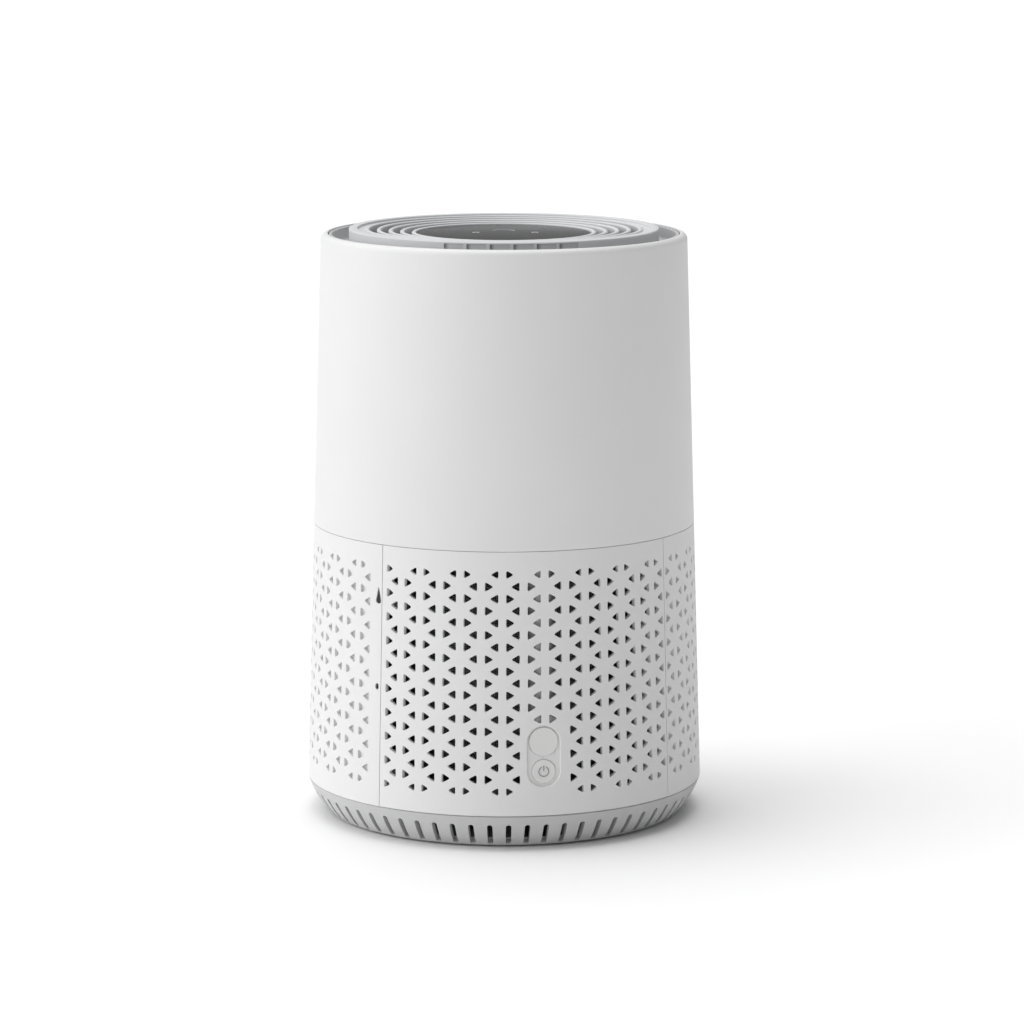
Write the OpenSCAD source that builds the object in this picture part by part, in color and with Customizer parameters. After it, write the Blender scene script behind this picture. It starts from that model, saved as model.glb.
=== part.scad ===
// Free-standing air purifier: a tapered round body that draws room air through its perforated
// filter door and slotted base, cleans it in a round filter, and blows it up through a ring grille.
// +Z is up, the floor is z = 0, the body's axis is the Z axis and the controls face -Y.
// Azimuths are degrees about Z from the front (-Y), positive towards +X.

/* [Body] */
// Radius of the body at the seam over the base
seam_r = 110; // [90:1:132]
// Radius lost for each millimetre of height
taper = 0.0304; // [0.015:0.001:0.04]
// Height of the seam over the base
base_seam_z = 19.4; // [17:0.2:24]
// Height of the seam under the upper shell
mid_seam_z = 163; // [136:1:196]
// Height of the upper shell's lip
shell_top_z = 323; // [290:1:388]
// Wall of the shells and the door
wall = 2.5; // [2:0.1:3]
// Gap that shows at the horizontal seams
seam_gap = 0.4; // [0.3:0.05:0.6]
// Radius that rounds the shell's lip
lip_round = 3.6; // [2:0.2:4]

/* [Base] */
// Radius of the base's lower edge
base_bottom_r = 98.8; // [85:0.5:108]
// Height that the rubber feet lift the base
foot_lift = 1.2; // [0.8:0.1:3]
// Radius of a rubber foot
foot_r = 8; // [6:0.5:10]
// Number of slots round the base
slot_count = 66; // [40:1:72]
// Width of a base slot
slot_w = 3; // [2:0.1:3.6]
// Height of a slot's lower end
slot_z0 = 2.6; // [2:0.1:4]
// Height of a slot's rounded upper end
slot_z1 = 14.9; // [10:0.1:15.5]

/* [Door] */
// Azimuth of the door's hinge edge
door_left = -37.8; // [-42:0.2:-34]
// Azimuth of the door's free edge
door_right = 54.6; // [50:0.2:58]
// Gap beside the hinge edge
hinge_gap = 0.8; // [0.7:0.05:1.2]
// Gap beside the free edge
free_gap = 0.4; // [0.3:0.05:0.8]
// Radius of the hinge pins
pin_r = 1.5; // [1.2:0.05:1.8]
// How far the hinge axis lies past the hinge edge
hinge_past = 16; // [15:0.5:18]
// Height of the lower hinge
hinge_low_z = 40; // [36:1:60]
// Height of the upper hinge
hinge_high_z = 134.3; // [110:0.5:136]

/* [Perforation] */
// Azimuth step from one line of holes to the next
line_step = 6.15; // [5.5:0.05:7]
// Angle from the hinge edge to the first line of holes
line_start = 0.5; // [0.1:0.05:1]
// Height of the lowest row of holes
row_z0 = 33.05; // [30:0.1:38]
// Height step from one row to the next
row_step = 6.53; // [5.6:0.05:7.8]
// Side of a triangular hole
hole_side = 5.1; // [4:0.1:5.6]
// Distance of a hole's flat side from its line
hole_flat = 2.1; // [1.6:0.1:2.6]

/* [Button pod] */
// Azimuth of the pod in the door
pod_az = 11.4; // [8:0.2:14]
// Height of the pod's centre
pod_z = 52; // [48:0.5:60]
// Half of the pod's width
pod_r = 8.8; // [8:0.1:9.4]
// Height of the pod
pod_h = 33.3; // [31.5:0.1:36]
// Radius of the upper button
pad_r = 7.9; // [7:0.1:8]
// Radius of the power button
button_r = 6.4; // [5:0.1:6.6]
// Depth of the pod's floor under the door's face
pod_floor = 1.5; // [1:0.1:1.8]
// Running gap round both buttons
button_gap = 0.15; // [0.1:0.05:0.25]
// Travel of the upper button
pad_travel = 1.2; // [0.6:0.1:1.4]
// Travel of the power button
button_travel = 1; // [0.6:0.1:1.4]

/* [Outlet] */
// Radius of the grille's outer wall
grille_r = 85.3; // [80:0.1:88]
// Height of the grille above the shell's lip
grille_rise = 2.6; // [1:0.1:5]
// Outer radius of the innermost ring
ring_r0 = 50.8; // [46:0.1:52]
// Step from one ring to the next
ring_step = 6.4; // [5.8:0.1:6.6]
// Width of a ring
ring_w = 2.5; // [1.8:0.1:3]
// Number of thin rings
ring_count = 5; // [3:1:5]
// Radius of the dark touch panel
panel_r = 47.4; // [40:0.1:47.6]
// Width of the trough round the grille
trough_w = 8.7; // [6:0.1:10]
// Number of indicator windows
window_count = 6; // [4:1:8]
// Azimuth step of the windows
window_step = 8.42; // [6.5:0.01:9]

/* [Filter] */
// Outer radius of the filter
filter_r = 64; // [54:0.5:66]
// Radius of the filter's open core
core_r = 42; // [36:0.5:44]
// Number of pleats
pleats = 72; // [48:1:90]

/* [Fan] */
// Radius of the fan wheel
wheel_r = 68; // [58:0.5:74]
// Height of the fan blades
blade_h = 30; // [24:0.5:36]
// Number of fan blades
blade_count = 11; // [7:1:15]
// Radius of the fan's inlet
inlet_r = 40; // [34:0.5:42]
// Number of guide vanes over the fan
vane_count = 9; // [7:1:13]

/* [Hidden] */
$fn = 96;

tilt = atan(taper);
grille_top_z = shell_top_z + grille_rise;
axis_r = wall_r(hinge_high_z + 4) - wall - 3.6;
axis_az = door_left - asin(hinge_past / (axis_r + wall));
door_z0 = base_seam_z + seam_gap;
door_z1 = mid_seam_z - seam_gap;
housing_z0 = base_seam_z + 0.25;
housing_z1 = mid_seam_z - 0.25;
fit_gap = 0.02;
run_gap = 0.05;
sill_r = 84;
sill_h = 3;
header_r = 92;
tray_z = housing_z0 + sill_h;
tray_h = 3;
deck_z = housing_z1;
deck_h = 3;
base_screw_r = 90.5;
base_screw_az = [22, 112, 202, 292];
deck_screw_az = [60, 130, 230, 320];
deck_screw_r = wall_r(mid_seam_z) - wall - 6;
screw_r = 1.5;
inlet_z = base_seam_z + 13;
pad_z = pod_z + pod_h / 2 - pod_r;
button_z = pod_z - pod_h / 2 + pod_r - 0.5;
board_y = 14;
board_h = 1.6;
cover_r = 8.8;
cover_z1 = mid_seam_z - 8;
filter_z0 = tray_z + tray_h + 0.3;
filter_z1 = mid_seam_z - 16;
cap_h = 5;
gasket_h = 4;
wheel_z = deck_z + deck_h + 9;
hub_z = wheel_z + blade_h;
motor_z = hub_z + 2.2;
motor_h = 16;
shaft_r = 2;
rotor_r = 24;
vane_z = motor_z + motor_h + 6;
vane_h = 40;
vane_hub_r = 38;
duct_r = grille_r - 0.3;
duct_wall = 2;
duct_top_z = shell_top_z - 12;
trough_z = shell_top_z - 7;
panel_z = grille_top_z - 2.9;
eps = 0.01;

// Radius of the body's outer surface at a height.
function wall_r(z) = seam_r - (z - base_seam_z) * taper;
// Point at an azimuth and a radius.
function at(a, r) = [r * sin(a), -r * cos(a)];
// Angle that a length takes at the body's surface.
function span(length) = length / seam_r * 180 / PI;

// Ring with the given inner and outer radius between two heights.
module ring(r_in, r_out, z0, z1) {
    translate([0, 0, z0]) difference() {
        cylinder(h = z1 - z0, r = r_out);
        translate([0, 0, -1]) cylinder(h = z1 - z0 + 2, r = r_in);
    }
}

// Solid of revolution from a half section given as [r, z] points.
module turned(points) rotate_extrude() polygon(points);

// Solid that follows the body's taper, inset from its outer surface.
module tapered(z0, z1, inset = 0) {
    turned([[0, z0], [wall_r(z0) - inset, z0], [wall_r(z1) - inset, z1], [0, z1]]);
}

// Wall that follows the body's taper between two insets.
module tapered_wall(z0, z1, inset_out, inset_in) {
    turned([
        [wall_r(z0) - inset_in, z0], [wall_r(z0) - inset_out, z0],
        [wall_r(z1) - inset_out, z1], [wall_r(z1) - inset_in, z1]
    ]);
}

// Wedge of space between two azimuths.
module sector(a0, a1, z0, z1, r = 160) {
    n = ceil((a1 - a0) / 20);
    translate([0, 0, z0]) linear_extrude(z1 - z0)
        polygon(concat([[0, 0]], [for (i = [0:n]) at(a0 + (a1 - a0) * i / n, r)]));
}

// Places children at an azimuth, with -Y pointing outwards.
module facing(a, r = 0, z = 0) rotate([0, 0, a]) translate([0, -r, z]) children();

// Places children on the body's surface: x is sideways, z up the wall and +y inwards.
module on_wall(a, z) facing(a, wall_r(z), z) rotate([-tilt, 0, 0]) children();

// Extrudes an outline drawn in x and z from depth y0 to y1.
module inward(y0, y1) translate([0, y1, 0]) rotate([90, 0, 0]) linear_extrude(y1 - y0) children();

// Upright capsule outline.
module capsule(r, h) {
    square([2 * r, h - 2 * r], center = true);
    for (s = [-1, 1]) translate([0, s * (h / 2 - r)]) circle(r);
}

// Screw with its head at the bottom: a flat head and a plain shank up the Z axis.
module screw(shank_r, head_r, head_h, length) {
    difference() {
        cylinder(h = head_h, r = head_r, $fn = 32);
        translate([0, 0, -eps]) for (a = [0, 90]) rotate([0, 0, a])
            translate([-head_r * 0.6, -0.4, 0]) cube([head_r * 1.2, 0.8, head_h * 0.5]);
    }
    translate([0, 0, head_h]) cylinder(h = length - head_h, r = shank_r, $fn = 32);
}

// ---- Base -------------------------------------------------------------------------------

function base_r(z) = base_bottom_r + (seam_r - base_bottom_r) * (z - foot_lift) / (base_seam_z - foot_lift);
base_wall = 2.9;
flange_h = 2.4;

module base_ring() color("#a9abac") difference() {
    turned([
        [base_bottom_r - base_wall, foot_lift], [base_bottom_r - 0.6, foot_lift],
        [base_r(foot_lift + 0.6), foot_lift + 0.6], [seam_r, base_seam_z],
        [sill_r, base_seam_z], [sill_r, base_seam_z - flange_h],
        [base_r(base_seam_z - flange_h) - base_wall, base_seam_z - flange_h]
    ]);
    for (i = [0:slot_count - 1]) facing(1.4 + i * 360 / slot_count)
        translate([0, -seam_r - 1, 0]) inward(0, seam_r - base_bottom_r + base_wall + 4) {
            translate([-slot_w / 2, slot_z0]) square([slot_w, slot_z1 - slot_w / 2 - slot_z0]);
            translate([0, slot_z1 - slot_w / 2]) circle(slot_w / 2, $fn = 24);
        }
    for (a = base_screw_az) facing(a, base_screw_r, base_seam_z - flange_h - 1)
        cylinder(h = flange_h + 2, r = screw_r + 0.2, $fn = 32);
}

plate_h = 2.5;
module base_plate() color("#a2a4a5") {
    rim_r = base_bottom_r - base_wall - 0.4;
    rim_slope = (seam_r - base_bottom_r) / (base_seam_z - foot_lift);
    difference() {
        union() {
            turned([
                [0, foot_lift], [rim_r, foot_lift], [rim_r + 4 * rim_slope, foot_lift + 4],
                [rim_r + 4 * rim_slope - 2, foot_lift + 4], [rim_r - 2, foot_lift + plate_h],
                [0, foot_lift + plate_h]
            ]);
            for (a = base_screw_az) facing(a, base_screw_r, foot_lift + plate_h - 0.5)
                cylinder(h = base_seam_z - flange_h - foot_lift - plate_h + 0.4, r = 3.6, $fn = 32);
            for (x = [-36, 36], y = [-22, 22]) translate([x, y, foot_lift])
                cylinder(h = 6.8 - foot_lift, r = 3, $fn = 32);
        }
        for (a = base_screw_az) facing(a, base_screw_r, foot_lift - 1) {
            cylinder(h = base_seam_z, r = screw_r + 0.2, $fn = 32);
            cylinder(h = 2.2 + 1, r = 3, $fn = 32);
        }
        for (i = [0:3]) facing(45 + 90 * i, 74, foot_lift - 1) cylinder(h = 2, r = foot_r + 0.1);
        for (i = [-4:4], s = [-1, 1]) facing(90 + s * 90 + i * 8, 52, foot_lift - 1)
            translate([-1.5, -8, 0]) cube([3, 16, 6]);
    }
}

module rubber_feet() color("#3a3b3d")
    for (i = [0:3]) facing(45 + 90 * i, 74) difference() {
        cylinder(h = foot_lift + 1, r = foot_r);
        translate([0, 0, -1]) cylinder(h = 1.5, r = foot_r - 3);
    }

module base_screws() color("#8f9294")
    for (a = base_screw_az) facing(a, base_screw_r, foot_lift + 0.2)
        screw(screw_r, 2.8, 2, housing_z0 + 8 - foot_lift);

module filter_tray() color("#e6e7e7") difference() {
    union() {
        ring(30, base_screw_r - 4.2, tray_z, tray_z + tray_h);
        ring(filter_r + 2.4, filter_r + 4.4, tray_z, tray_z + tray_h + 3);
        for (i = [0:5]) rotate([0, 0, i * 60]) translate([-2, 0, tray_z]) cube([4, 40, tray_h]);
        translate([0, 0, tray_z]) cylinder(h = tray_h, r = 14);
    }
    sector(door_left, door_right, tray_z + tray_h, tray_z + tray_h + 4);
    for (i = [0:11]) facing(15 + i * 30, 50, tray_z - 1) translate([-5, -12, 0]) cube([10, 24, tray_h + 2]);
}

// ---- Power supply -----------------------------------------------------------------------

board_z = 6.8;
module power_board() color("#2f6b3f") difference() {
    translate([-42, -28, board_z]) cube([84, 56, board_h]);
    for (x = [-36, 36], y = [-22, 22]) translate([x, y, board_z - 1]) cylinder(h = 4, r = 1.3, $fn = 24);
}

module power_board_parts() color("#4a4c4f") translate([0, 0, board_z + board_h]) {
    for (i = [0:2]) translate([-26 + 13 * i, 12, 0]) cylinder(h = 9.5, r = 4.2, $fn = 32);
    translate([-30, -20, 0]) cube([18, 16, 8.5]);
    translate([-6, -20, 0]) cube([14, 12, 7]);
    for (i = [0:3]) translate([14 + 5 * i, -18, 0]) cube([3.4, 3.4, 1.4]);
    translate([16, 4, 0]) cube([14, 14, 1.8]);
    for (s = [-1, 1]) translate([s * 32 - 3.5, -3, 0]) cube([7, 11, 6]);
}

inlet_bore_r = 3.2;
module power_inlet() color("#2b2c2e") facing(180, wall_r(inlet_z) - wall, inlet_z) rotate([90, 0, 0])
    difference() {
        translate([0, 0, -12]) union() {
            cylinder(h = 12 - run_gap, r = 7.6, $fn = 48);
            cylinder(h = 13, r = 5.4, $fn = 48);
        }
        translate([0, 0, -9]) cylinder(h = 12, r = inlet_bore_r, $fn = 48);
    }

module power_inlet_pin() color("#c9b27a") facing(180, wall_r(inlet_z) - wall, inlet_z) rotate([90, 0, 0])
    translate([0, 0, -9]) cylinder(h = 7, r = 1, $fn = 32);

// ---- Lower housing ----------------------------------------------------------------------

sill_gap = 0.6;
lug_h = 4;
knuckle_h = 8;
knuckle_r = 3.4;
module pin_lugs(z) {
    for (s = [-1, 1]) facing(axis_az, axis_r, z + s * (knuckle_h / 2 + 0.3 + lug_h / 2) - lug_h / 2)
        difference() {
            union() {
                cylinder(h = lug_h, r = knuckle_r, $fn = 32);
                translate([-knuckle_r, -(wall_r(z) - axis_r - 1), 0])
                    cube([2 * knuckle_r, wall_r(z) - axis_r - 1, lug_h]);
            }
            translate([0, 0, -1]) cylinder(h = lug_h + 2, r = pin_r + fit_gap, $fn = 32);
        }
}

jamb_gap = 4;
jamb_h = 1;

// Flange behind the door's free edge, on a web from the side wall.
module strike_jamb() difference() {
    intersection() {
        tapered_wall(housing_z0 + jamb_h, housing_z1 - jamb_h, 1.2, wall + jamb_gap + 2);
        sector(door_right - span(14), door_right + span(4.2), 0, shell_top_z);
    }
    intersection() {
        tapered_wall(housing_z0 - 1, housing_z1 + 1, -1, wall + jamb_gap);
        sector(door_right - span(20), door_right + span(1.6), 0, shell_top_z);
    }
}

module lower_housing() color("#f1f1f0") difference() {
    union() {
        difference() {
            union() {
                tapered_wall(housing_z0, housing_z1, 0, wall);
                tapered_wall(housing_z0, housing_z0 + sill_h, 1, wall + 4);
                tapered_wall(housing_z1 - sill_h, housing_z1, 1, wall + 4);
            }
            sector(door_left - span(hinge_gap), door_right + span(free_gap), 0, shell_top_z);
        }
        difference() {
            tapered(housing_z0, housing_z0 + sill_h, wall + sill_gap);
            cylinder(h = 100, r = sill_r);
        }
        difference() {
            tapered(housing_z1 - sill_h, housing_z1, wall + sill_gap);
            cylinder(h = shell_top_z, r = header_r);
        }
        strike_jamb();
        for (z = [hinge_low_z, hinge_high_z]) pin_lugs(z);
        for (a = base_screw_az) facing(a, base_screw_r, housing_z0) cylinder(h = 12, r = 3.6, $fn = 32);
        facing(180, wall_r(inlet_z) - 1, inlet_z) rotate([-90, 0, 0]) cylinder(h = 13, r = 9.6, $fn = 48);
    }
    for (a = base_screw_az) facing(a, base_screw_r, housing_z0 - 1)
        cylinder(h = 11, r = screw_r + fit_gap, $fn = 32);
    for (a = deck_screw_az) facing(a, deck_screw_r, housing_z1 - sill_h - 1)
        cylinder(h = sill_h + 2, r = screw_r + 0.2, $fn = 32);
    facing(180, wall_r(inlet_z) + 1, inlet_z) rotate([-90, 0, 0]) cylinder(h = 20, r = 5.6, $fn = 48);
    facing(180, wall_r(inlet_z) - wall, inlet_z) rotate([-90, 0, 0]) cylinder(h = 20, r = 7.8, $fn = 48);
    facing(door_left - span(hinge_gap + 1.4), wall_r(hinge_high_z) - wall - 1, hinge_high_z) drop_slot();
    facing(door_left - span(hinge_gap + 2.2), wall_r(85) - wall - 1, base_seam_z + 66)
        rotate([90, 0, 0]) cylinder(h = wall + 3, r = 1.1, $fn = 24);
}

// Teardrop opening beside the upper hinge, pointed at its upper end.
module drop_slot() rotate([90, 0, 0]) linear_extrude(wall + 3) {
    translate([0, -2.2]) circle(1.5, $fn = 32);
    polygon([[-1.5, -2.2], [1.5, -2.2], [0.4, 3.7], [-0.4, 3.7]]);
}

module hinge_pins() color("#b9bcbe") for (z = [hinge_low_z, hinge_high_z])
    facing(axis_az, axis_r, z - knuckle_h / 2 - 0.3 - lug_h)
        cylinder(h = knuckle_h + 0.6 + 2 * lug_h, r = pin_r, $fn = 32);

magnet_z = [base_seam_z + 32, mid_seam_z - 34];
magnet_az = door_right - span(7);
module strike_plates() color("#c3c5c7") for (z = magnet_z)
    on_wall(magnet_az, z) translate([-4, wall + jamb_gap - 1 - 0.2, -7]) cube([8, 1, 14]);

// ---- Door -------------------------------------------------------------------------------

// Upright triangle with its flat side at x = hole_flat and its tip pointing to +x.
function hole_outline(side) =
    [[hole_flat, -side / 2], [hole_flat + side * sin(60), 0], [hole_flat, side / 2]];

line_count = floor((door_right - door_left) / line_step);
row_count = floor((mid_seam_z - 11 - row_z0) / row_step) + 1;
line0_az = door_left + line_start;

// Angle and height of a line's k-th row.
function row_z(k) = row_z0 + k * row_step;
function clear_of_pod(a, z) =
    z > pod_z + pod_h / 2 + 3 || abs(a - pod_az) * seam_r * PI / 180 > pod_r + 4;

module hole(a, z, side, s) on_wall(a, z) inward(-2, wall + 2)
    mirror([s < 0 ? 1 : 0, 0, 0]) polygon(hole_outline(side));

module door_holes() for (j = [0:line_count], k = [0:row_count - 1]) if ((j + k) % 2 == 0) {
    a = line0_az + j * line_step;
    end = k == 0 || k == row_count - 1 ? 0.87 : 1;
    for (s = [-1, 1]) {
        mid = a + s * span(hole_flat + 2);
        if (mid > door_left + span(2.4) && mid < door_right - span(2.4) && clear_of_pod(mid, row_z(k)))
            hole(a, row_z(k), hole_side * end, s);
    }
}

module door_panel() color("#f4f4f3") difference() {
    intersection() {
        tapered_wall(door_z0, door_z1, 0, wall);
        sector(door_left, door_right, 0, shell_top_z);
    }
    intersection() {
        tapered(door_z0 - 1, door_z1 + 1, 1.2);
        sector(door_left - 1, door_left + span(1.8), 0, shell_top_z);
    }
    on_wall(pod_az, pod_z) inward(-3, wall + 3) capsule(pod_r, pod_h);
    door_holes();
}

arm_r = 20.6;
arm_w = 3.4;
module hinge_arms() color("#3a3b3d") for (z = [hinge_low_z, hinge_high_z]) difference() {
    intersection() {
        tapered(z - 12, z + 12, wall + fit_gap);
        union() {
            facing(axis_az, axis_r, z - knuckle_h / 2) {
                cylinder(h = knuckle_h, r = knuckle_r, $fn = 32);
                translate([-arm_w / 2 - 1, 0, 0]) cube([arm_w, arm_r, knuckle_h]);
                difference() {
                    cylinder(h = knuckle_h, r = arm_r + arm_w / 2);
                    translate([0, 0, -1]) cylinder(h = knuckle_h + 2, r = arm_r - arm_w / 2);
                    translate([-60 - arm_w / 2 - 1, -30, -1]) cube([60, 60, knuckle_h + 2]);
                    translate([-30, -60 - (wall_r(z) - wall - 0.6 - axis_r), -1]) cube([60, 60, knuckle_h + 2]);
                }
            }
            intersection() {
                tapered_wall(z - 8, z + 8, wall - 1, wall + 2.4);
                sector(door_left + span(3), door_left + span(16), 0, shell_top_z);
            }
        }
    }
    facing(axis_az, axis_r, 0) cylinder(h = mid_seam_z, r = pin_r + run_gap, $fn = 32);
}

module door_magnets() color("#7d8083") for (z = magnet_z)
    on_wall(magnet_az, z) translate([-4, wall + 0.15, -7]) cube([8, 2.4, 14]);

// ---- Buttons ----------------------------------------------------------------------------

pad_dz = pad_z - pod_z;
post_dz = pod_h / 2 + 2.8;
post_r = 2.4;
pod_flange_h = pod_h + 11;
button_dz = button_z - pod_z;
sleeve_y = 7.5;
lip_h = 1.2;
switch_y = 9.9;
flange_y = wall + 0.8;

module pod_space() on_wall(pod_az, pod_z) children();
module disc(r, y0, y1, dz) translate([0, 0, dz]) inward(y0, y1) circle(r, $fn = 64);

module button_pod() color("#efefee") pod_space() difference() {
    union() {
        inward(0.5, flange_y + 0.2) capsule(pod_r - 0.05, pod_h - 0.1);
        inward(flange_y, flange_y + 1.6) capsule(pod_r + 3.4, pod_flange_h);
        inward(flange_y + 1, sleeve_y) capsule(pod_r, pod_h);
        for (s = [-1, 1]) translate([0, 0, s * (post_dz)]) inward(flange_y + 1, board_y)
            circle(post_r, $fn = 32);
    }
    inward(-1, pod_floor) capsule(pod_r - 0.9, pod_h - 1.8);
    disc(pad_r + button_gap, -1, sleeve_y + 1, pad_dz);
    disc(button_r + button_gap, -1, sleeve_y + 1, button_dz);
    for (s = [-1, 1]) translate([0, 0, s * (post_dz)]) inward(board_y - 7, board_y + 1)
        circle(1 + fit_gap, $fn = 24);
}

module button(r, travel, dz) {
    disc(r, pod_floor - 0.6, sleeve_y + run_gap, dz);
    disc(r + 0.8, sleeve_y + run_gap, sleeve_y + run_gap + lip_h, dz);
    disc(1.6, sleeve_y + lip_h, switch_y - run_gap - travel + 1.2, dz);
}

module upper_button() color("#f3f3f2") pod_space() button(pad_r, pad_travel, pad_dz);
module power_button() color("#ececeb") pod_space() button(button_r, button_travel, button_dz);

mark_r = 2.9;
mark_w = 0.45;
module power_mark() color("#8b8e90") pod_space() translate([0, 0, button_dz])
    inward(pod_floor - 0.75, pod_floor - 0.6) {
        difference() {
            circle(mark_r, $fn = 64);
            circle(mark_r - mark_w, $fn = 64);
            translate([-1.2, 0]) square([2.4, mark_r + 1]);
        }
        translate([-mark_w / 2, 0.2]) square([mark_w, mark_r]);
    }

module button_board() color("#2f6b3f") pod_space() difference() {
    inward(board_y, board_y + board_h) square([17, pod_flange_h - 0.5], center = true);
    for (s = [-1, 1]) translate([0, 0, s * (post_dz)]) inward(board_y - 1, board_y + board_h + 1)
        circle(1.2, $fn = 24);
}

module tact_switches() color("#3c3e40") pod_space() for (dz = [pad_dz, button_dz]) translate([0, 0, dz]) {
    inward(switch_y + 1.6, board_y) square([6.2, 6.2], center = true);
    inward(switch_y + 1.2, switch_y + 1.6 + eps) circle(1.75, $fn = 32);
}

module pod_screws() color("#8f9294") pod_space() for (s = [-1, 1])
    translate([0, board_y + board_h + 1.6, s * (post_dz)]) rotate([90, 0, 0])
        screw(1, 2.1, 1.6, 9);

module harness_cover() color("#d9dadb") on_wall(pod_az, pod_z) difference() {
    z0 = pod_flange_h / 2 + 0.1;
    z1 = cover_z1 - pod_z;
    translate([0, flange_y + cover_r, z0]) difference() {
        union() {
            cylinder(h = z1 - z0, r = cover_r);
            translate([-cover_r, 0, 0]) cube([2 * cover_r, 3, z1 - z0]);
        }
        translate([0, 0, -1]) cylinder(h = z1 - z0 - 0.4, r = cover_r - 1.4);
        translate([-cover_r - 1, 3, -1]) cube([2 * cover_r + 2, cover_r + 1, z1 - z0 + 2]);
        translate([-cover_r + 1.4, 0, -1]) cube([2 * (cover_r - 1.4), 4, z1 - z0 - 0.4]);
    }
}

// ---- Filter -----------------------------------------------------------------------------

module filter_bottom_cap() color("#4b4d50") difference() {
    translate([0, 0, filter_z0]) cylinder(h = cap_h, r = filter_r + 1.4);
    translate([0, 0, filter_z0 + 2]) cylinder(h = cap_h, r = filter_r + fit_gap);
}

module filter_top_cap() color("#4b4d50") difference() {
    translate([0, 0, filter_z1 - cap_h]) cylinder(h = cap_h, r = filter_r + 1.4);
    translate([0, 0, filter_z1 - cap_h - 1]) cylinder(h = cap_h - 1, r = filter_r + fit_gap);
    translate([0, 0, filter_z1 - 3]) cylinder(h = 4, r = core_r);
}

media_z0 = filter_z0 + 2;
media_z1 = filter_z1 - 2;
module prefilter_sleeve() color("#6b6e72") ring(filter_r - 1, filter_r, media_z0, media_z1);

module carbon_liner() color("#2c2d2f") ring(core_r + 0.2, core_r + 3, media_z0, media_z1);

// Zigzag of pleats at a distance outside the sheet's inner face.
function zigzag(off) = [for (i = [0:2 * pleats - 1])
    let (r = (i % 2 == 0 ? core_r + 3.4 : filter_r - 2.4) + off) at(i * 180 / pleats, r)];

module filter_media() color("#eef0f0") translate([0, 0, media_z0]) linear_extrude(media_z1 - media_z0)
    difference() {
        polygon(zigzag(0.9));
        polygon(zigzag(0));
    }

module filter_gasket() color("#3b3c3e") ring(core_r + 3, core_r + 11, filter_z1, filter_z1 + gasket_h);

module filter_pull_tab() color("#8f9aa3") facing(pod_az, filter_r + 1.4, filter_z1 - 3) difference() {
    translate([-9, -12, 0]) cube([18, 12.5, 1.2]);
    translate([-6, -9, -1]) cube([12, 5, 4]);
    rotate([0, 0, -pod_az]) translate(concat(-at(pod_az, filter_r + 1.4), [-1])) cylinder(h = 4, r = filter_r + 1.4);
}

// ---- Fan --------------------------------------------------------------------------------

module mid_deck() color("#dfe0e0") difference() {
    union() {
        translate([0, 0, deck_z]) cylinder(h = deck_h, r = wall_r(mid_seam_z) - wall - 0.4);
        ring(core_r + 4.5, core_r + 7, filter_z1 + gasket_h, deck_z + 1);
    }
    translate([0, 0, deck_z - 1]) cylinder(h = deck_h + 2, r = inlet_r + 3);
    for (a = deck_screw_az) facing(a, deck_screw_r, deck_z - 1)
        cylinder(h = deck_h + 2, r = screw_r + 0.2, $fn = 32);
}

module deck_screws() color("#8f9294") for (a = deck_screw_az)
    facing(a, deck_screw_r, housing_z1 - sill_h - 1.8) screw(screw_r, 2.8, 1.8, sill_h + deck_h + 12);

module inlet_ring() color("#e9eaea") turned([
    [inlet_r + 3 - fit_gap, deck_z], [inlet_r + 3 - fit_gap, deck_z + deck_h],
    [inlet_r + 7, deck_z + deck_h], [inlet_r + 7, deck_z + deck_h + 1.6],
    [inlet_r + 1.6, deck_z + deck_h + 3], [inlet_r - 1.6, wheel_z + 1],
    [inlet_r - 3.2, wheel_z + 1], [inlet_r - 1, deck_z + deck_h + 2], [inlet_r + 1, deck_z]
]);

module fan_shroud() color("#d5d7d9") turned([
    [inlet_r, wheel_z - 1], [inlet_r + 1.6, wheel_z - 1], [wheel_r, wheel_z + 6],
    [wheel_r, wheel_z + 7.6], [inlet_r + 1.2, wheel_z + 1.6], [inlet_r, wheel_z + 1.6]
]);

hub_h = 2.4;
module fan_wheel() color("#d5d7d9") difference() {
    turned([
        [0, hub_z - 12], [9, hub_z - 12], [14, hub_z - 9], [26, hub_z - hub_h],
        [wheel_r, hub_z - hub_h], [wheel_r, hub_z], [0, hub_z]
    ]);
    translate([0, 0, hub_z - 13]) cylinder(h = 14, r = shaft_r + fit_gap, $fn = 32);
}

// Centre line of a backward-curved blade: the azimuth grows with the radius.
blade_in = inlet_r + 2;
blade_lean = 38;
blade_t = 1.8;
function blade_point(u, side) =
    let (r = blade_in + (wheel_r - 0.5 - blade_in) * u, a = blade_lean * pow(u, 0.8))
    at(a + side * blade_t / 2 / r * 180 / PI * 1.25, r);
module fan_blades() color("#c9cccf") for (i = [0:blade_count - 1]) rotate([0, 0, i * 360 / blade_count])
    intersection() {
        translate([0, 0, wheel_z]) linear_extrude(blade_h)
            polygon(concat([for (k = [0:8]) blade_point(k / 8, -1)], [for (k = [8:-1:0]) blade_point(k / 8, 1)]));
        turned([
            [0, wheel_z + 1.6], [inlet_r + 1.2, wheel_z + 1.7], [wheel_r, wheel_z + 7.7],
            [wheel_r, hub_z - hub_h - eps], [0, hub_z - hub_h - eps]
        ]);
    }

module motor_rotor() color("#9fa3a6") difference() {
    translate([0, 0, hub_z]) cylinder(h = motor_h, r = rotor_r);
    translate([0, 0, motor_z]) cylinder(h = motor_h, r = rotor_r - 1.4);
    translate([0, 0, hub_z - 1]) cylinder(h = 5, r = shaft_r + fit_gap, $fn = 32);
    for (i = [0:5]) facing(i * 60, 13, hub_z - 1) cylinder(h = 4, r = 3.4, $fn = 32);
}

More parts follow.
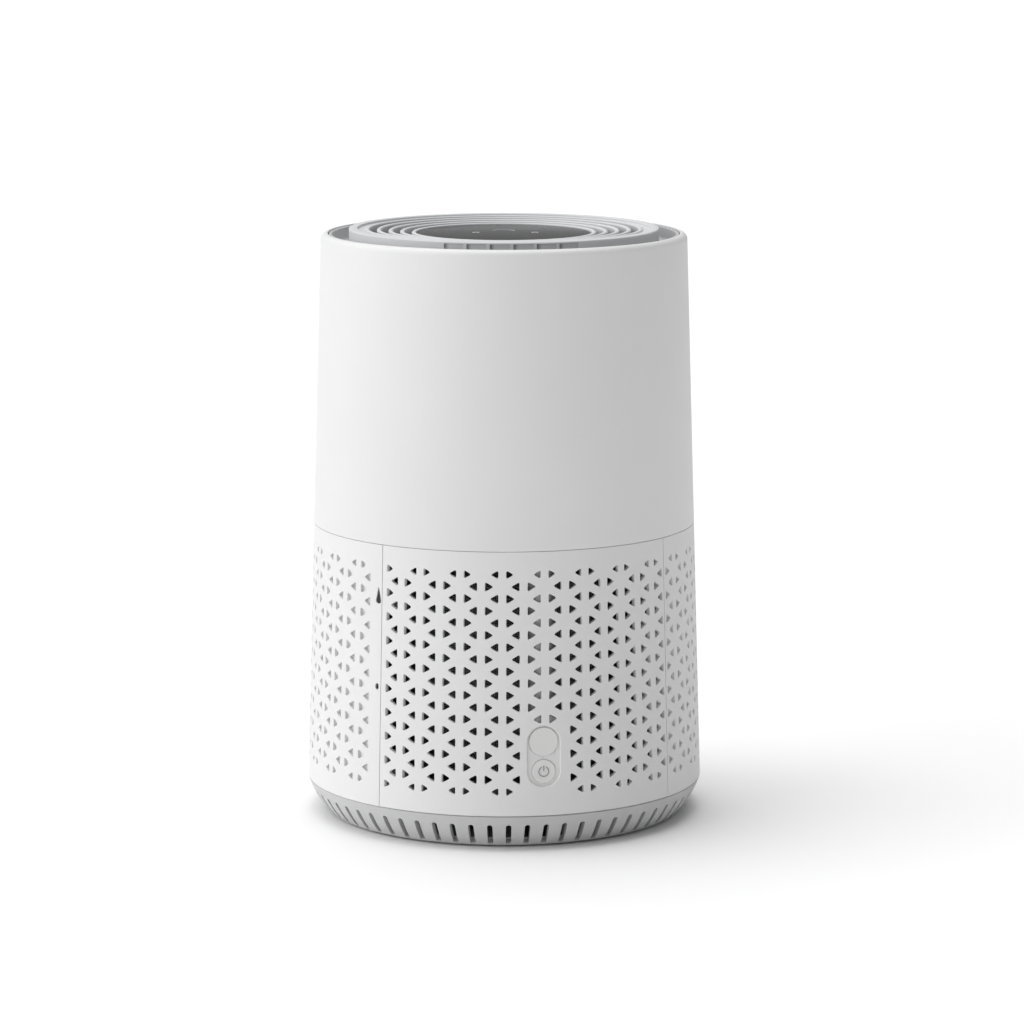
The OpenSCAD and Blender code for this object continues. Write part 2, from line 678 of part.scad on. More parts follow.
magnet_r = rotor_r - 3.4;
module rotor_magnets() color("#55585b") for (i = [0:7]) rotate([0, 0, i * 45]) intersection() {
    ring(magnet_r, rotor_r - 1.4 - fit_gap, motor_z + 1, hub_z + motor_h - 0.5);
    sector(-21.5, 21.5, motor_z, hub_z + motor_h);
}

stator_r = magnet_r - 0.6;
tube_r = 6.4;
slots = 9;
stator_z0 = motor_z + 3;
stator_z1 = hub_z + motor_h - 2;
module motor_stator() color("#6f7376") {
    ring(tube_r + fit_gap, tube_r + 3, stator_z0, stator_z1);
    for (i = [0:slots - 1]) rotate([0, 0, i * 360 / slots]) {
        translate([-1.5, -stator_r + 1, stator_z0]) cube([3, stator_r - tube_r - 2, stator_z1 - stator_z0]);
        intersection() {
            ring(stator_r - 1.8, stator_r, stator_z0, stator_z1);
            sector(-17, 17, stator_z0 - 1, stator_z1 + 1);
        }
    }
}

module motor_coils() color("#b8733a") for (i = [0:slots - 1]) rotate([0, 0, i * 360 / slots]) difference() {
    translate([-2.7, -stator_r + 2.4, stator_z0 - 1]) cube([5.4, 4.6, stator_z1 - stator_z0 + 2]);
    translate([-1.5 - fit_gap, -stator_r, stator_z0 - fit_gap])
        cube([3 + 2 * fit_gap, 10, stator_z1 - stator_z0 + 2 * fit_gap]);
}

bearing_h = 4;
bearing_r = 4.5;
tube_z0 = motor_z + 1;
module motor_mount() color("#c6c8ca") difference() {
    union() {
        translate([0, 0, tube_z0]) cylinder(h = vane_z - tube_z0, r = tube_r);
        translate([0, 0, vane_z - 3]) cylinder(h = 3, r = vane_hub_r - 2);
    }
    translate([0, 0, tube_z0 - 1]) cylinder(h = vane_z - tube_z0 - 1, r = shaft_r + 0.6, $fn = 32);
    for (z = [tube_z0, vane_z - 1 - bearing_h]) translate([0, 0, z - 1])
        cylinder(h = bearing_h + 1, r = bearing_r + fit_gap, $fn = 48);
    for (i = [0:2]) facing(60 + 120 * i, 30, vane_z - 4) cylinder(h = 5, r = screw_r + 0.2, $fn = 32);
}

module motor_bearings() color("#a6a9ac") for (z = [tube_z0, vane_z - 1 - bearing_h]) difference() {
    translate([0, 0, z]) cylinder(h = bearing_h, r = bearing_r, $fn = 48);
    translate([0, 0, z - 1]) cylinder(h = bearing_h + 2, r = shaft_r + run_gap, $fn = 32);
}

module motor_shaft() color("#b3b6b8") translate([0, 0, hub_z - 16])
    cylinder(h = vane_z - hub_z + 16 - 1.6, r = shaft_r, $fn = 32);

module motor_screws() color("#8f9294") for (i = [0:2])
    facing(60 + 120 * i, 30, vane_z - 4.8) screw(screw_r, 2.8, 1.8, 7.4);

module fan_duct() color("#dcdddd") {
    ring(duct_r - duct_wall, duct_r, deck_z + deck_h, duct_top_z);
    ring(duct_r - 1, duct_r + 7, deck_z + deck_h, deck_z + deck_h + 3);
}

module guide_vanes() color("#d3d5d6") difference() {
    union() {
        ring(vane_hub_r - 2.2, vane_hub_r, vane_z, vane_z + vane_h);
        translate([0, 0, vane_z]) cylinder(h = 3, r = vane_hub_r);
        ring(duct_r - duct_wall - 2, duct_r - duct_wall - fit_gap, vane_z, vane_z + vane_h);
        for (i = [0:vane_count - 1]) rotate([0, 0, i * 360 / vane_count])
            translate([vane_hub_r - 1, 0, vane_z + vane_h / 2]) rotate([28, 0, 0])
                translate([0, -0.9, -vane_h / 2 + 3]) cube([duct_r - duct_wall - vane_hub_r, 1.8, vane_h - 6]);
    }
    for (i = [0:2]) facing(60 + 120 * i, 30, vane_z - 1) cylinder(h = 3.6, r = screw_r + fit_gap, $fn = 32);
}

// ---- Top --------------------------------------------------------------------------------

shell_z0 = mid_seam_z + 0.15;
collar_r = wall_r(shell_top_z) - lip_round - 0.6;
module upper_shell() color("#f6f6f5") difference() {
    union() {
        turned([
            [wall_r(shell_z0) - wall, shell_z0], [wall_r(shell_z0), shell_z0],
            [wall_r(shell_top_z - lip_round), shell_top_z - lip_round],
            for (a = [15:15:90]) [wall_r(shell_top_z - lip_round) - lip_round * (1 - cos(a)),
                shell_top_z - lip_round * (1 - sin(a))],
            [collar_r + 0.3, shell_top_z], [collar_r + 0.3, shell_top_z - 2.4],
            [wall_r(shell_top_z) - wall - 1, shell_top_z - 2.4],
            [wall_r(shell_top_z - 8) - wall, shell_top_z - 8]
        ]);
        for (a = deck_screw_az) facing(a, deck_screw_r, deck_z + deck_h) {
            cylinder(h = 14, r = 3.6, $fn = 32);
            translate([-1.5, -wall_r(mid_seam_z) + wall + deck_screw_r - 1, 0])
                cube([3, wall_r(mid_seam_z) - wall - deck_screw_r + 1, 14]);
        }
    }
    for (a = deck_screw_az) facing(a, deck_screw_r, deck_z + deck_h - 1)
        cylinder(h = 13.4, r = screw_r + fit_gap, $fn = 32);
}

collar_top_z = shell_top_z - 0.5;
trough_r = grille_r + 0.4 + trough_w;
module outlet_collar() color("#c9cbcc") turned([
    [trough_r, collar_top_z], [collar_r, collar_top_z], [collar_r, collar_top_z - 5],
    [trough_r + 1.4, collar_top_z - 5.4], [trough_r + 1.4, trough_z - 2],
    [duct_r + 2.4, trough_z - 2], [duct_r + 2.4, duct_top_z - 6], [duct_r + 0.3, duct_top_z - 6],
    [duct_r + 0.3, trough_z - 2.4], [duct_r - duct_wall, trough_z - 2.4],
    [duct_r - duct_wall, trough_z], [trough_r, trough_z]
]);

window_az = 2.85;
window_w = 7.7;
window_h = 6;
window_top = 0.7;
function window_at(i) = window_az + (i - (window_count - 1) / 2) * window_step;

module window_shape(grow, y0, y1) rotate([90, 0, 0]) translate([0, 0, -y1]) linear_extrude(y1 - y0)
    square([2 * grille_r * sin(window_w / 2) + 2 * grow, window_h + 2 * grow], center = true);

land_w = 4.8;
groove_w = 4;
rib_count = 12;
rib_z = grille_top_z - 9;
module ring_bar(i) {
    r = ring_r0 + i * ring_step;
    fall = (ring_count - i) * 0.45;
    ring(r - ring_w, r, grille_top_z - fall - 5.5, grille_top_z - fall);
}
module outlet_grille() color("#cfd1d2") difference() {
    union() {
        ring(grille_r - 2, grille_r, trough_z, grille_top_z);
        ring(grille_r - land_w, grille_r, grille_top_z - 2, grille_top_z);
        ring(grille_r - land_w - groove_w - 0.5, grille_r - 1, grille_top_z - 3.4, grille_top_z - 1.4);
        for (i = [0:ring_count - 1]) ring_bar(i);
        for (i = [0:rib_count - 1]) rotate([0, 0, i * 360 / rib_count]) translate([0, -0.8, rib_z])
            translate([ring_r0 - 1.5, 0, 0]) cube([grille_r - ring_r0, 1.6, 4.6]);
    }
    for (i = [0:window_count - 1]) facing(window_at(i), grille_r, grille_top_z - window_top - window_h / 2)
        window_shape(0.05, -3, 3);
}

module indicator_windows() color("#b4b7b9") for (i = [0:window_count - 1])
    facing(window_at(i), grille_r - 0.6, grille_top_z - window_top - window_h / 2) window_shape(0, 0, 1.2);

module panel_cup() color("#bfc1c3") difference() {
    union() {
        ring(panel_r - 2, panel_r + 0.6, panel_z - 12, panel_z - 1);
        translate([0, 0, panel_z - 14]) cylinder(h = 2.4, r = panel_r + 0.6);
        for (i = [0:2]) facing(i * 120, panel_r - 9, panel_z - 12) cylinder(h = 6, r = 3, $fn = 32);
    }
    for (i = [0:2]) facing(i * 120, panel_r - 9, panel_z - 11) cylinder(h = 6, r = 1 + fit_gap, $fn = 24);
}

module control_board() color("#2f6b3f") difference() {
    translate([0, 0, panel_z - 6]) cylinder(h = board_h, r = panel_r - 2.4);
    for (i = [0:2]) facing(i * 120, panel_r - 9, panel_z - 7) cylinder(h = 4, r = 1.2, $fn = 24);
}

module panel_screws() color("#8f9294") for (i = [0:2])
    facing(i * 120, panel_r - 9, panel_z - 6 + board_h + 1.6) mirror([0, 0, 1]) screw(1, 2.1, 1.6, 6);

module touch_panel() color("#4b4d50") turned([
    [0, panel_z - 1], [panel_r, panel_z - 1], [panel_r, panel_z - 0.4], [panel_r - 0.4, panel_z], [0, panel_z]
]);

module touch_marks() color("#e8e9ea") translate([0, 0, panel_z]) linear_extrude(0.1) {
    for (x = [-15.5, 17]) translate([x, 0]) difference() {
        circle(1.9, $fn = 48);
        circle(1.5, $fn = 48);
    }
    translate([0, 8]) difference() {
        circle(6.4, $fn = 64);
        circle(6, $fn = 64);
        translate([-8, -8]) square([16, 10]);
    }
}

base_plate();
base_ring();
rubber_feet();
base_screws();
filter_tray();
power_board();
power_board_parts();
power_inlet();
power_inlet_pin();
lower_housing();
hinge_pins();
strike_plates();
door_panel();
hinge_arms();
door_magnets();
button_pod();
harness_cover();
button_board();
tact_switches();
pod_screws();
upper_button();
power_button();
power_mark();
filter_bottom_cap();
filter_top_cap();
prefilter_sleeve();
filter_media();
carbon_liner();
filter_gasket();
filter_pull_tab();
mid_deck();
deck_screws();
inlet_ring();
fan_duct();
guide_vanes();
motor_mount();
motor_stator();
motor_coils();
motor_bearings();
motor_screws();
fan_wheel();
fan_blades();
fan_shroud();
motor_rotor();
rotor_magnets();
motor_shaft();
upper_shell();
outlet_collar();
outlet_grille();
indicator_windows();
panel_cup();
control_board();
touch_panel();
touch_marks();
panel_screws();
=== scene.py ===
"""Looks of a tapered round air purifier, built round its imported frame.

Each sub-assembly is a class that holds its sizes in millimetres, models its pieces and dresses them. The pieces
that show on the outside are modelled again in fine mesh; the working parts inside keep their own solids and get
their finishes here.
"""

import logging
import math
from dataclasses import dataclass, field
from enum import Enum
from typing import Callable, Iterable, Sequence

import bmesh
import bpy
from mathutils import Matrix, Vector

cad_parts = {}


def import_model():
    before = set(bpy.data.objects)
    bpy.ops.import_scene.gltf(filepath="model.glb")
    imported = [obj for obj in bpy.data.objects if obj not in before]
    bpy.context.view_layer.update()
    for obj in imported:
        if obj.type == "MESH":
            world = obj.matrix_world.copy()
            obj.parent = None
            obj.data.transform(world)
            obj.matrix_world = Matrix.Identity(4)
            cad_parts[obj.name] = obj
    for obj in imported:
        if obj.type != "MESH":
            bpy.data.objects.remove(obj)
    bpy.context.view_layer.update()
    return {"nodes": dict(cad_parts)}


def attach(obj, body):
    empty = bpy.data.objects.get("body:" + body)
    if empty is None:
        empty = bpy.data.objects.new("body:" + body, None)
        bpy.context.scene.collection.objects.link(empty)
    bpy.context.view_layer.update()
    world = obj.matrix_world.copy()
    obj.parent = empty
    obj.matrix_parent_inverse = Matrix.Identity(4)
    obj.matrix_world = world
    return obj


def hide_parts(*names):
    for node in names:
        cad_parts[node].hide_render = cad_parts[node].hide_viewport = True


MM = 0.001
LOG = logging.getLogger("purifier")
Point = tuple[float, float]
EDGE_R = 0.2  # rounding of a moulding's outer edges, mm
SKIN_OVERLAP = 0.6  # how far a new skin reaches over the solid kept inside it, mm
AXIS_R = 0.5  # inner radius of a solid of that kind, mm


class Body(str, Enum):
    """The rigid bodies that pieces ride on."""

    CASE = "case"
    DOOR = "door"
    UPPER_KEY = "upper_key"
    POWER_KEY = "power_key"
    ROTOR = "rotor"


# ---- Finishes ---------------------------------------------------------------------------------------------


def linear_colour(code: str) -> tuple[float, float, float, float]:
    """Turns an sRGB hex colour such as "#F4F4F2" into linear RGBA.

    Args:
        code: the hex colour.

    Returns:
        Linear red, green, blue and 1.
    """
    parts = [int(code[i : i + 2], 16) / 255 for i in (1, 3, 5)]
    linear = [c / 12.92 if c <= 0.04045 else ((c + 0.055) / 1.055) ** 2.4 for c in parts]
    return (linear[0], linear[1], linear[2], 1.0)


def add_node(
    tree: bpy.types.NodeTree,
    kind: str,
    settings: dict[str, object] | None = None,
    links: dict[str | int, object] | None = None,
) -> bpy.types.Node:
    """Adds a shader node.

    Args:
        tree: the material's node tree.
        kind: the node's type name.
        settings: attributes of the node.
        links: input name or index to a value or to another node's output socket.

    Returns:
        The new node.
    """
    node = tree.nodes.new(kind)
    for name, value in (settings or {}).items():
        setattr(node, name, value)
    for key, value in (links or {}).items():
        if isinstance(value, bpy.types.NodeSocket):
            tree.links.new(value, node.inputs[key])
        else:
            node.inputs[key].default_value = value
    return node


@dataclass(frozen=True)
class Finish:
    """A moulded, cast or cut solid: a colour that drifts a little, a grain in the surface and a gloss.

    Attributes:
        name: the material's name.
        colour: sRGB hex of the clean surface.
        shade: sRGB hex that the colour drifts towards.
        drift_mm: size of the drift's patches.
        rough: roughness of the surface.
        rough_drift: how far the roughness wanders.
        grain_mm: spacing of the surface grain.
        grain_depth_mm: height of the surface grain.
        metallic: 1 for a bare metal.
        ior: index of refraction of a non-metal.
        coat: weight of a clear coat.
        coat_rough: roughness of the clear coat.
    """

    name: str
    colour: str
    shade: str
    drift_mm: float = 40.0
    rough: float = 0.45
    rough_drift: float = 0.05
    grain_mm: float = 0.6
    grain_depth_mm: float = 0.01
    metallic: float = 0.0
    ior: float = 1.5
    coat: float = 0.0
    coat_rough: float = 0.1

    def pattern(self, tree: bpy.types.NodeTree, place: bpy.types.NodeSocket) -> tuple:
        """Makes the colour mask and the height of the surface.

        Args:
            tree: the material's node tree.
            place: Object coordinates, in metres.

        Returns:
            The mask from 0 to 1, the height from 0 to 1, and the height's depth in millimetres.
        """
        cloud, grain = (
            add_node(
                tree,
                "ShaderNodeTexNoise",
                links={"Vector": place, "Scale": 1 / (size * MM), "Detail": detail, "Roughness": share},
            ).outputs["Fac"]
            for size, detail, share in ((self.drift_mm, 3.0, 0.55), (self.grain_mm, 2.0, 0.6))
        )
        return cloud, grain, self.grain_depth_mm

    def material(self) -> bpy.types.Material:
        """Builds the material, unless it is there already.

        Returns:
            The material.
        """
        found = bpy.data.materials.get(self.name)
        if found:
            return found
        made = bpy.data.materials.new(self.name)
        made.use_nodes = True
        tree = made.node_tree
        tree.nodes.clear()
        place = add_node(tree, "ShaderNodeTexCoord").outputs["Object"]
        mask, height, depth = self.pattern(tree, place)
        colour = add_node(
            tree,
            "ShaderNodeMix",
            {"data_type": "RGBA"},
            {0: mask, 6: linear_colour(self.colour), 7: linear_colour(self.shade)},
        )
        low, high = self.rough - self.rough_drift, self.rough + self.rough_drift
        rough = add_node(tree, "ShaderNodeMapRange", links={"Value": mask, "To Min": low, "To Max": high})
        relief = {"Height": height, "Strength": 1.0, "Distance": depth * MM}
        bump = add_node(tree, "ShaderNodeBump", links=relief)
        shader = add_node(
            tree,
            "ShaderNodeBsdfPrincipled",
            links={
                "Base Color": colour.outputs[2],
                "Roughness": rough.outputs["Result"],
                "Normal": bump.outputs["Normal"],
                "Metallic": self.metallic,
                "Coat Weight": self.coat,
                "Coat Roughness": self.coat_rough,
            },
        )
        if not self.metallic:
            shader.inputs["IOR"].default_value = self.ior
        add_node(tree, "ShaderNodeOutputMaterial", links={"Surface": shader.outputs["BSDF"]})
        return made


@dataclass(frozen=True)
class WovenFinish(Finish):
    """A plain weave: two families of threads at right angles, wrapped round the Z axis.

    Attributes:
        thread_mm: spacing of the threads.
        around_mm: radius at which the threads are evenly spaced round the axis.
    """

    thread_mm: float = 1.2
    around_mm: float = 64.0

    def pattern(self, tree: bpy.types.NodeTree, place: bpy.types.NodeSocket) -> tuple:
        """Makes the weave's mask and height.

        Args:
            tree: the material's node tree.
            place: Object coordinates, in metres.

        Returns:
            The mask from 0 to 1, the height from 0 to 1, and the height's depth in millimetres.
        """
        apart = add_node(tree, "ShaderNodeSeparateXYZ", links={"Vector": place})
        turn = add_node(
            tree, "ShaderNodeMath", {"operation": "ARCTAN2"}, {0: apart.outputs["Y"], 1: apart.outputs["X"]}
        )
        threads = round(2 * math.pi * self.around_mm / self.thread_mm)
        warp = add_node(
            tree, "ShaderNodeMath", {"operation": "MULTIPLY"}, {0: turn.outputs[0], 1: float(threads)}
        )
        weft = add_node(
            tree,
            "ShaderNodeMath",
            {"operation": "MULTIPLY"},
            {0: apart.outputs["Z"], 1: 2 * math.pi / (self.thread_mm * MM)},
        )
        waves = [
            add_node(tree, "ShaderNodeMath", {"operation": "COSINE"}, {0: thread.outputs[0]})
            for thread in (warp, weft)
        ]
        high = add_node(
            tree, "ShaderNodeMath", {"operation": "MAXIMUM"}, {0: waves[0].outputs[0], 1: waves[1].outputs[0]}
        )
        height = add_node(tree, "ShaderNodeMapRange", links={"Value": high.outputs[0], "From Min": -1.0})
        mask = add_node(
            tree, "ShaderNodeMath", {"operation": "SUBTRACT"}, {0: 1.0, 1: height.outputs["Result"]}
        )
        return mask.outputs[0], height.outputs["Result"], self.grain_depth_mm


@dataclass(frozen=True)
class CellFinish(Finish):
    """An open or closed foam, or a cast surface: rounded cells of one size.

    Attributes:
        cell_mm: size of a cell.
    """

    cell_mm: float = 1.5

    def pattern(self, tree: bpy.types.NodeTree, place: bpy.types.NodeSocket) -> tuple:
        """Makes the cells' mask and height.

        Args:
            tree: the material's node tree.
            place: Object coordinates, in metres.

        Returns:
            The mask from 0 to 1, the height from 0 to 1, and the height's depth in millimetres.
        """
        cells = add_node(
            tree, "ShaderNodeTexVoronoi", links={"Vector": place, "Scale": 1 / (self.cell_mm * MM)}
        )
        return cells.outputs["Distance"], cells.outputs["Distance"], self.grain_depth_mm


@dataclass(frozen=True)
class WindowFinish(Finish):
    """Light guides set round the axis, each coloured darker towards its left end, where the azimuth is lowest.

    Attributes:
        start_deg: azimuth of the first guide's left end, from the front towards +X.
        step_deg: angle from one guide to the next.
        dark_end_share: share of the step over which the darker end fades.
    """

    start_deg: float = 0.0
    step_deg: float = 8.42
    dark_end_share: float = 0.24

    def pattern(self, tree: bpy.types.NodeTree, place: bpy.types.NodeSocket) -> tuple:
        """Makes the dark ends' mask and a fine grain.

        Args:
            tree: the material's node tree.
            place: Object coordinates, in metres.

        Returns:
            The mask from 0 to 1, the height from 0 to 1, and the height's depth in millimetres.
        """
        grain = super().pattern(tree, place)
        apart = add_node(tree, "ShaderNodeSeparateXYZ", links={"Vector": place})
        front = add_node(tree, "ShaderNodeMath", {"operation": "MULTIPLY"}, {0: apart.outputs["Y"], 1: -1.0})
        turn = add_node(
            tree, "ShaderNodeMath", {"operation": "ARCTAN2"}, {0: apart.outputs["X"], 1: front.outputs[0]}
        )
        steps = add_node(
            tree,
            "ShaderNodeMath",
            {"operation": "MULTIPLY_ADD"},
            {0: turn.outputs[0], 1: math.degrees(1) / self.step_deg, 2: -self.start_deg / self.step_deg + 64},
        )
        share = add_node(tree, "ShaderNodeMath", {"operation": "FRACT"}, {0: steps.outputs[0]})
        mask = add_node(
            tree,
            "ShaderNodeMapRange",
            {"interpolation_type": "SMOOTHSTEP"},
            {
                "Value": share.outputs[0],
                "From Min": 0.02,
                "From Max": self.dark_end_share,
                "To Min": 1.0,
                "To Max": 0.0,
            },
        )
        return mask.outputs["Result"], grain[1], self.grain_depth_mm


@dataclass(frozen=True)
class BoardFinish(Finish):
    """A circuit board's solder mask over copper tracks.

    Attributes:
        track_mm: spacing of the tracks.
    """

    track_mm: float = 2.4

    def pattern(self, tree: bpy.types.NodeTree, place: bpy.types.NodeSocket) -> tuple:
        """Makes the tracks' mask and height.

        Args:
            tree: the material's node tree.
            place: Object coordinates, in metres.

        Returns:
            The mask from 0 to 1, the height from 0 to 1, and the height's depth in millimetres.
        """
        tracks = add_node(
            tree,
            "ShaderNodeTexBrick",
            {"offset": 0.5},
            {
                "Vector": place,
                "Scale": 1 / (self.track_mm * MM),
                "Color1": (0.0, 0.0, 0.0, 1.0),
                "Color2": (0.15, 0.15, 0.15, 1.0),
                "Mortar": (1.0, 1.0, 1.0, 1.0),
                "Mortar Size": 0.06,
                "Brick Width": 3.0,
                "Row Height": 0.5,
            },
        )
        return tracks.outputs["Color"], tracks.outputs["Color"], self.grain_depth_mm


# Injection-moulded ABS from a spark-eroded tool: clean white, satin, with a very fine even grain.
WHITE_ABS = Finish(
    "white_abs_satin", "#DEDEDE", "#DADADA", rough=0.5, rough_drift=0.03, grain_mm=0.7, grain_depth_mm=0.006,
    ior=1.53,
)
# The same ABS on the keys, polished a little by fingers.
KEY_ABS = Finish(
    "white_abs_key", "#DEDEDD", "#DADAD9", rough=0.38, rough_drift=0.03, grain_mm=0.5, grain_depth_mm=0.003,
    ior=1.53,
)
# ABS dyed mid grey for the base: flat and dry, with a coarser grain.
BASE_ABS = Finish(
    "grey_abs_matt", "#C3C3C3", "#BBBBBC", rough=0.55, grain_mm=0.8, grain_depth_mm=0.01, ior=1.53
)
# ABS dyed light grey for the outlet rings: fine matt.
RING_ABS = Finish(
    "ring_grey_abs", "#D6D6D6", "#CFCFD0", rough=0.5, grain_mm=0.6, grain_depth_mm=0.006, ior=1.53
)
# The same ABS in a deeper grey for the trough round the rings: painted shade of the recess.
TROUGH_PAINTED_SHADE_ABS = Finish(
    "trough_painted_shade_abs", "#BEBEBF", "#B6B6B7", rough=0.5, grain_mm=0.6, grain_depth_mm=0.006, ior=1.53
)
# ABS coloured dark grey as painted shade for the duct under the outlet, so that it does not show between the
# rings.
DUCT_PAINTED_SHADE_ABS = Finish(
    "duct_painted_shade_abs", "#6E7072", "#646668", drift_mm=25, rough=0.6, grain_mm=0.9, grain_depth_mm=0.012,
    ior=1.53,
)
# Unpainted ABS of the inner mouldings: pale grey with faint flow marks.
INNER_ABS = Finish(
    "pale_grey_abs", "#C9CBCC", "#BEC0C1", drift_mm=25, rough=0.55, grain_mm=0.9, grain_depth_mm=0.012,
    ior=1.53,
)
# Glass-filled nylon of connectors and switches: black, dry, slightly speckled.
BLACK_NYLON = Finish(
    "black_nylon", "#26272A", "#34363A", drift_mm=4, rough=0.6, grain_mm=0.5, grain_depth_mm=0.01, ior=1.53
)
# Cast acrylic with a dark tint, polished: deep and glossy, with the faint haze of fingers.
DARK_ACRYLIC = Finish(
    "tinted_acrylic", "#1D1E20", "#18191A", drift_mm=30, rough=0.2, rough_drift=0.04, grain_mm=3,
    grain_depth_mm=0.002, ior=1.42,
)
# Frosted polycarbonate light guides: cloudy grey with a soft gloss, each a darker grey towards its left end.
FROSTED_PC = WindowFinish(
    "frosted_polycarbonate", "#BFC1C2", "#7E8082", rough=0.35, grain_mm=0.5, grain_depth_mm=0.004, ior=1.58,
    start_deg=2.85 - 2.5 * 8.42 - 3.55,
)
# Pad-printed ink: thin and flat.
GREY_INK = Finish(
    "grey_pad_print", "#8A8D90", "#84878A", drift_mm=3, rough=0.6, grain_mm=0.3, grain_depth_mm=0.002
)
WHITE_INK = Finish(
    "white_screen_print", "#F0F1F2", "#E4E5E6", drift_mm=3, rough=0.55, grain_mm=0.3, grain_depth_mm=0.002
)
# Nitrile rubber feet: near black, dull and dusty.
RUBBER = Finish(
    "nitrile_rubber", "#2B2C2E", "#3A3B3D", drift_mm=8, rough=0.85, grain_mm=0.6, grain_depth_mm=0.03,
    ior=1.52,
)
# Zinc-plated steel screws and pins: pale, faintly mottled.
ZINC_STEEL = Finish(
    "zinc_plated_steel", "#B9BCBE", "#9EA3A8", drift_mm=3, rough=0.35, grain_mm=0.4, grain_depth_mm=0.004,
    metallic=1.0,
)
# Ground bearing steel of the shaft and bearings: bright.
GROUND_STEEL = Finish(
    "ground_steel", "#C4C6C8", "#B0B3B6", drift_mm=2, rough=0.22, grain_mm=0.3, grain_depth_mm=0.002,
    metallic=1.0,
)
# Laminated electrical steel of the motor: darker, dull.
MOTOR_STEEL = Finish(
    "electrical_steel", "#8D9296", "#7A7F83", drift_mm=4, rough=0.45, grain_mm=0.5, grain_depth_mm=0.006,
    metallic=1.0,
)
# Turned brass contact.
BRASS = Finish(
    "turned_brass", "#C9AE74", "#B3945A", drift_mm=2, rough=0.3, grain_mm=0.3, grain_depth_mm=0.003,
    metallic=1.0,
)
# Enamelled copper wire: red-brown under a clear lacquer.
COPPER = Finish(
    "enamelled_copper", "#B4663A", "#8F4A26", drift_mm=1, rough=0.35, grain_mm=0.5, grain_depth_mm=0.05,
    metallic=1.0,
)
# Sintered ferrite magnets: charcoal, slightly rough.
FERRITE = Finish(
    "sintered_ferrite", "#4A4C4F", "#3C3E41", drift_mm=2, rough=0.7, grain_mm=0.4, grain_depth_mm=0.01
)
# Glass-filled polypropylene of the fan: grey and slightly waxy.
FAN_PP = Finish(
    "filled_polypropylene", "#C2C5C8", "#B6B9BC", drift_mm=20, rough=0.42, grain_mm=0.6,
    grain_depth_mm=0.008, ior=1.49,
)
# Moulded polypropylene end caps of the filter: charcoal grey.
CAP_PP = Finish(
    "charcoal_polypropylene", "#3E4043", "#484A4E", drift_mm=12, rough=0.55, grain_mm=0.8,
    grain_depth_mm=0.01, ior=1.49,
)
# Nylon dust mesh round the filter: 1.2 mm threads, drawn coarse enough to show.
DUST_MESH = WovenFinish(
    "nylon_dust_mesh", "#A2A5A8", "#55585B", rough=0.7, grain_depth_mm=0.25, thread_mm=1.2
)
# Melt-blown filter paper: off-white felted fibres.
FILTER_PAPER = Finish(
    "melt_blown_paper", "#F1F2F0", "#E2E4E2", drift_mm=6, rough=0.9, grain_mm=0.4, grain_depth_mm=0.05
)
# Open-cell carbon foam: black pores of 1.5 mm.
CARBON_FOAM = CellFinish("carbon_foam", "#141516", "#2E3033", rough=0.9, grain_depth_mm=0.5, cell_mm=1.5)
# Closed-cell foam gasket.
GASKET_FOAM = CellFinish(
    "closed_cell_foam", "#2F3033", "#3D3F42", rough=0.85, grain_depth_mm=0.08, cell_mm=0.8
)
# Woven polyester tape of the pull tab: 0.8 mm threads.
TAB_TAPE = WovenFinish("polyester_tape", "#93A0AA", "#5F6B75", rough=0.8, grain_depth_mm=0.08, thread_mm=0.8)
# Green solder mask over tracks.
BOARD = BoardFinish(
    "solder_mask", "#1F5B34", "#3B8A53", rough=0.35, rough_drift=0.05, grain_depth_mm=0.03, coat=0.3
)
# Paper sweep of the studio: white and dead matt.
STUDIO_FLOOR = Finish(
    "studio_floor", "#F6F6F6", "#F6F6F6", drift_mm=800, rough=0.9, rough_drift=0.02, grain_depth_mm=0.0
)

# The nodes that still show, by finish.
NODE_FINISHES: dict[Finish, tuple[str, ...]] = {
    BASE_ABS: ("base_plate",),
    RUBBER: ("rubber_feet",),
    ZINC_STEEL: (
        "base_screws", "hinge_pins", "strike_plates", "pod_screws", "deck_screws", "motor_screws",
        "panel_screws",
    ),
    INNER_ABS: ("filter_tray", "harness_cover", "mid_deck", "inlet_ring", "motor_mount"),
    BOARD: ("power_board", "button_board", "control_board"),
    BLACK_NYLON: ("power_board_parts", "power_inlet", "hinge_arms", "tact_switches"),
    BRASS: ("power_inlet_pin",),
    FERRITE: ("door_magnets", "rotor_magnets"),
    GREY_INK: ("power_mark",),
    CAP_PP: ("filter_bottom_cap", "filter_top_cap"),
    DUST_MESH: ("prefilter_sleeve",),
    FILTER_PAPER: ("filter_media",),
    CARBON_FOAM: ("carbon_liner",),
    GASKET_FOAM: ("filter_gasket",),
    TAB_TAPE: ("filter_pull_tab",),
    # Painted shade: the duct, vanes and cup are coloured dark so the gaps between the rings look shaded.
    DUCT_PAINTED_SHADE_ABS: ("fan_duct", "guide_vanes", "panel_cup"),
    MOTOR_STEEL: ("motor_stator", "motor_rotor"),
    COPPER: ("motor_coils",),
    GROUND_STEEL: ("motor_bearings", "motor_shaft"),
    FAN_PP: ("fan_wheel", "fan_blades", "fan_shroud"),
    FROSTED_PC: ("indicator_windows",),
    WHITE_INK: ("touch_marks",),
}


# ---- Shaping tools ----------------------------------------------------------------------------------------


def arc(centre: Point, radius: float, start: float, end: float, steps: int = 6) -> list[Point]:
    """Returns points along an arc in a half section, from one angle in degrees to another."""
    angles = [math.radians(start + (end - start) * i / steps) for i in range(steps + 1)]
    return [(centre[0] + radius * math.cos(a), centre[1] + radius * math.sin(a)) for a in angles]


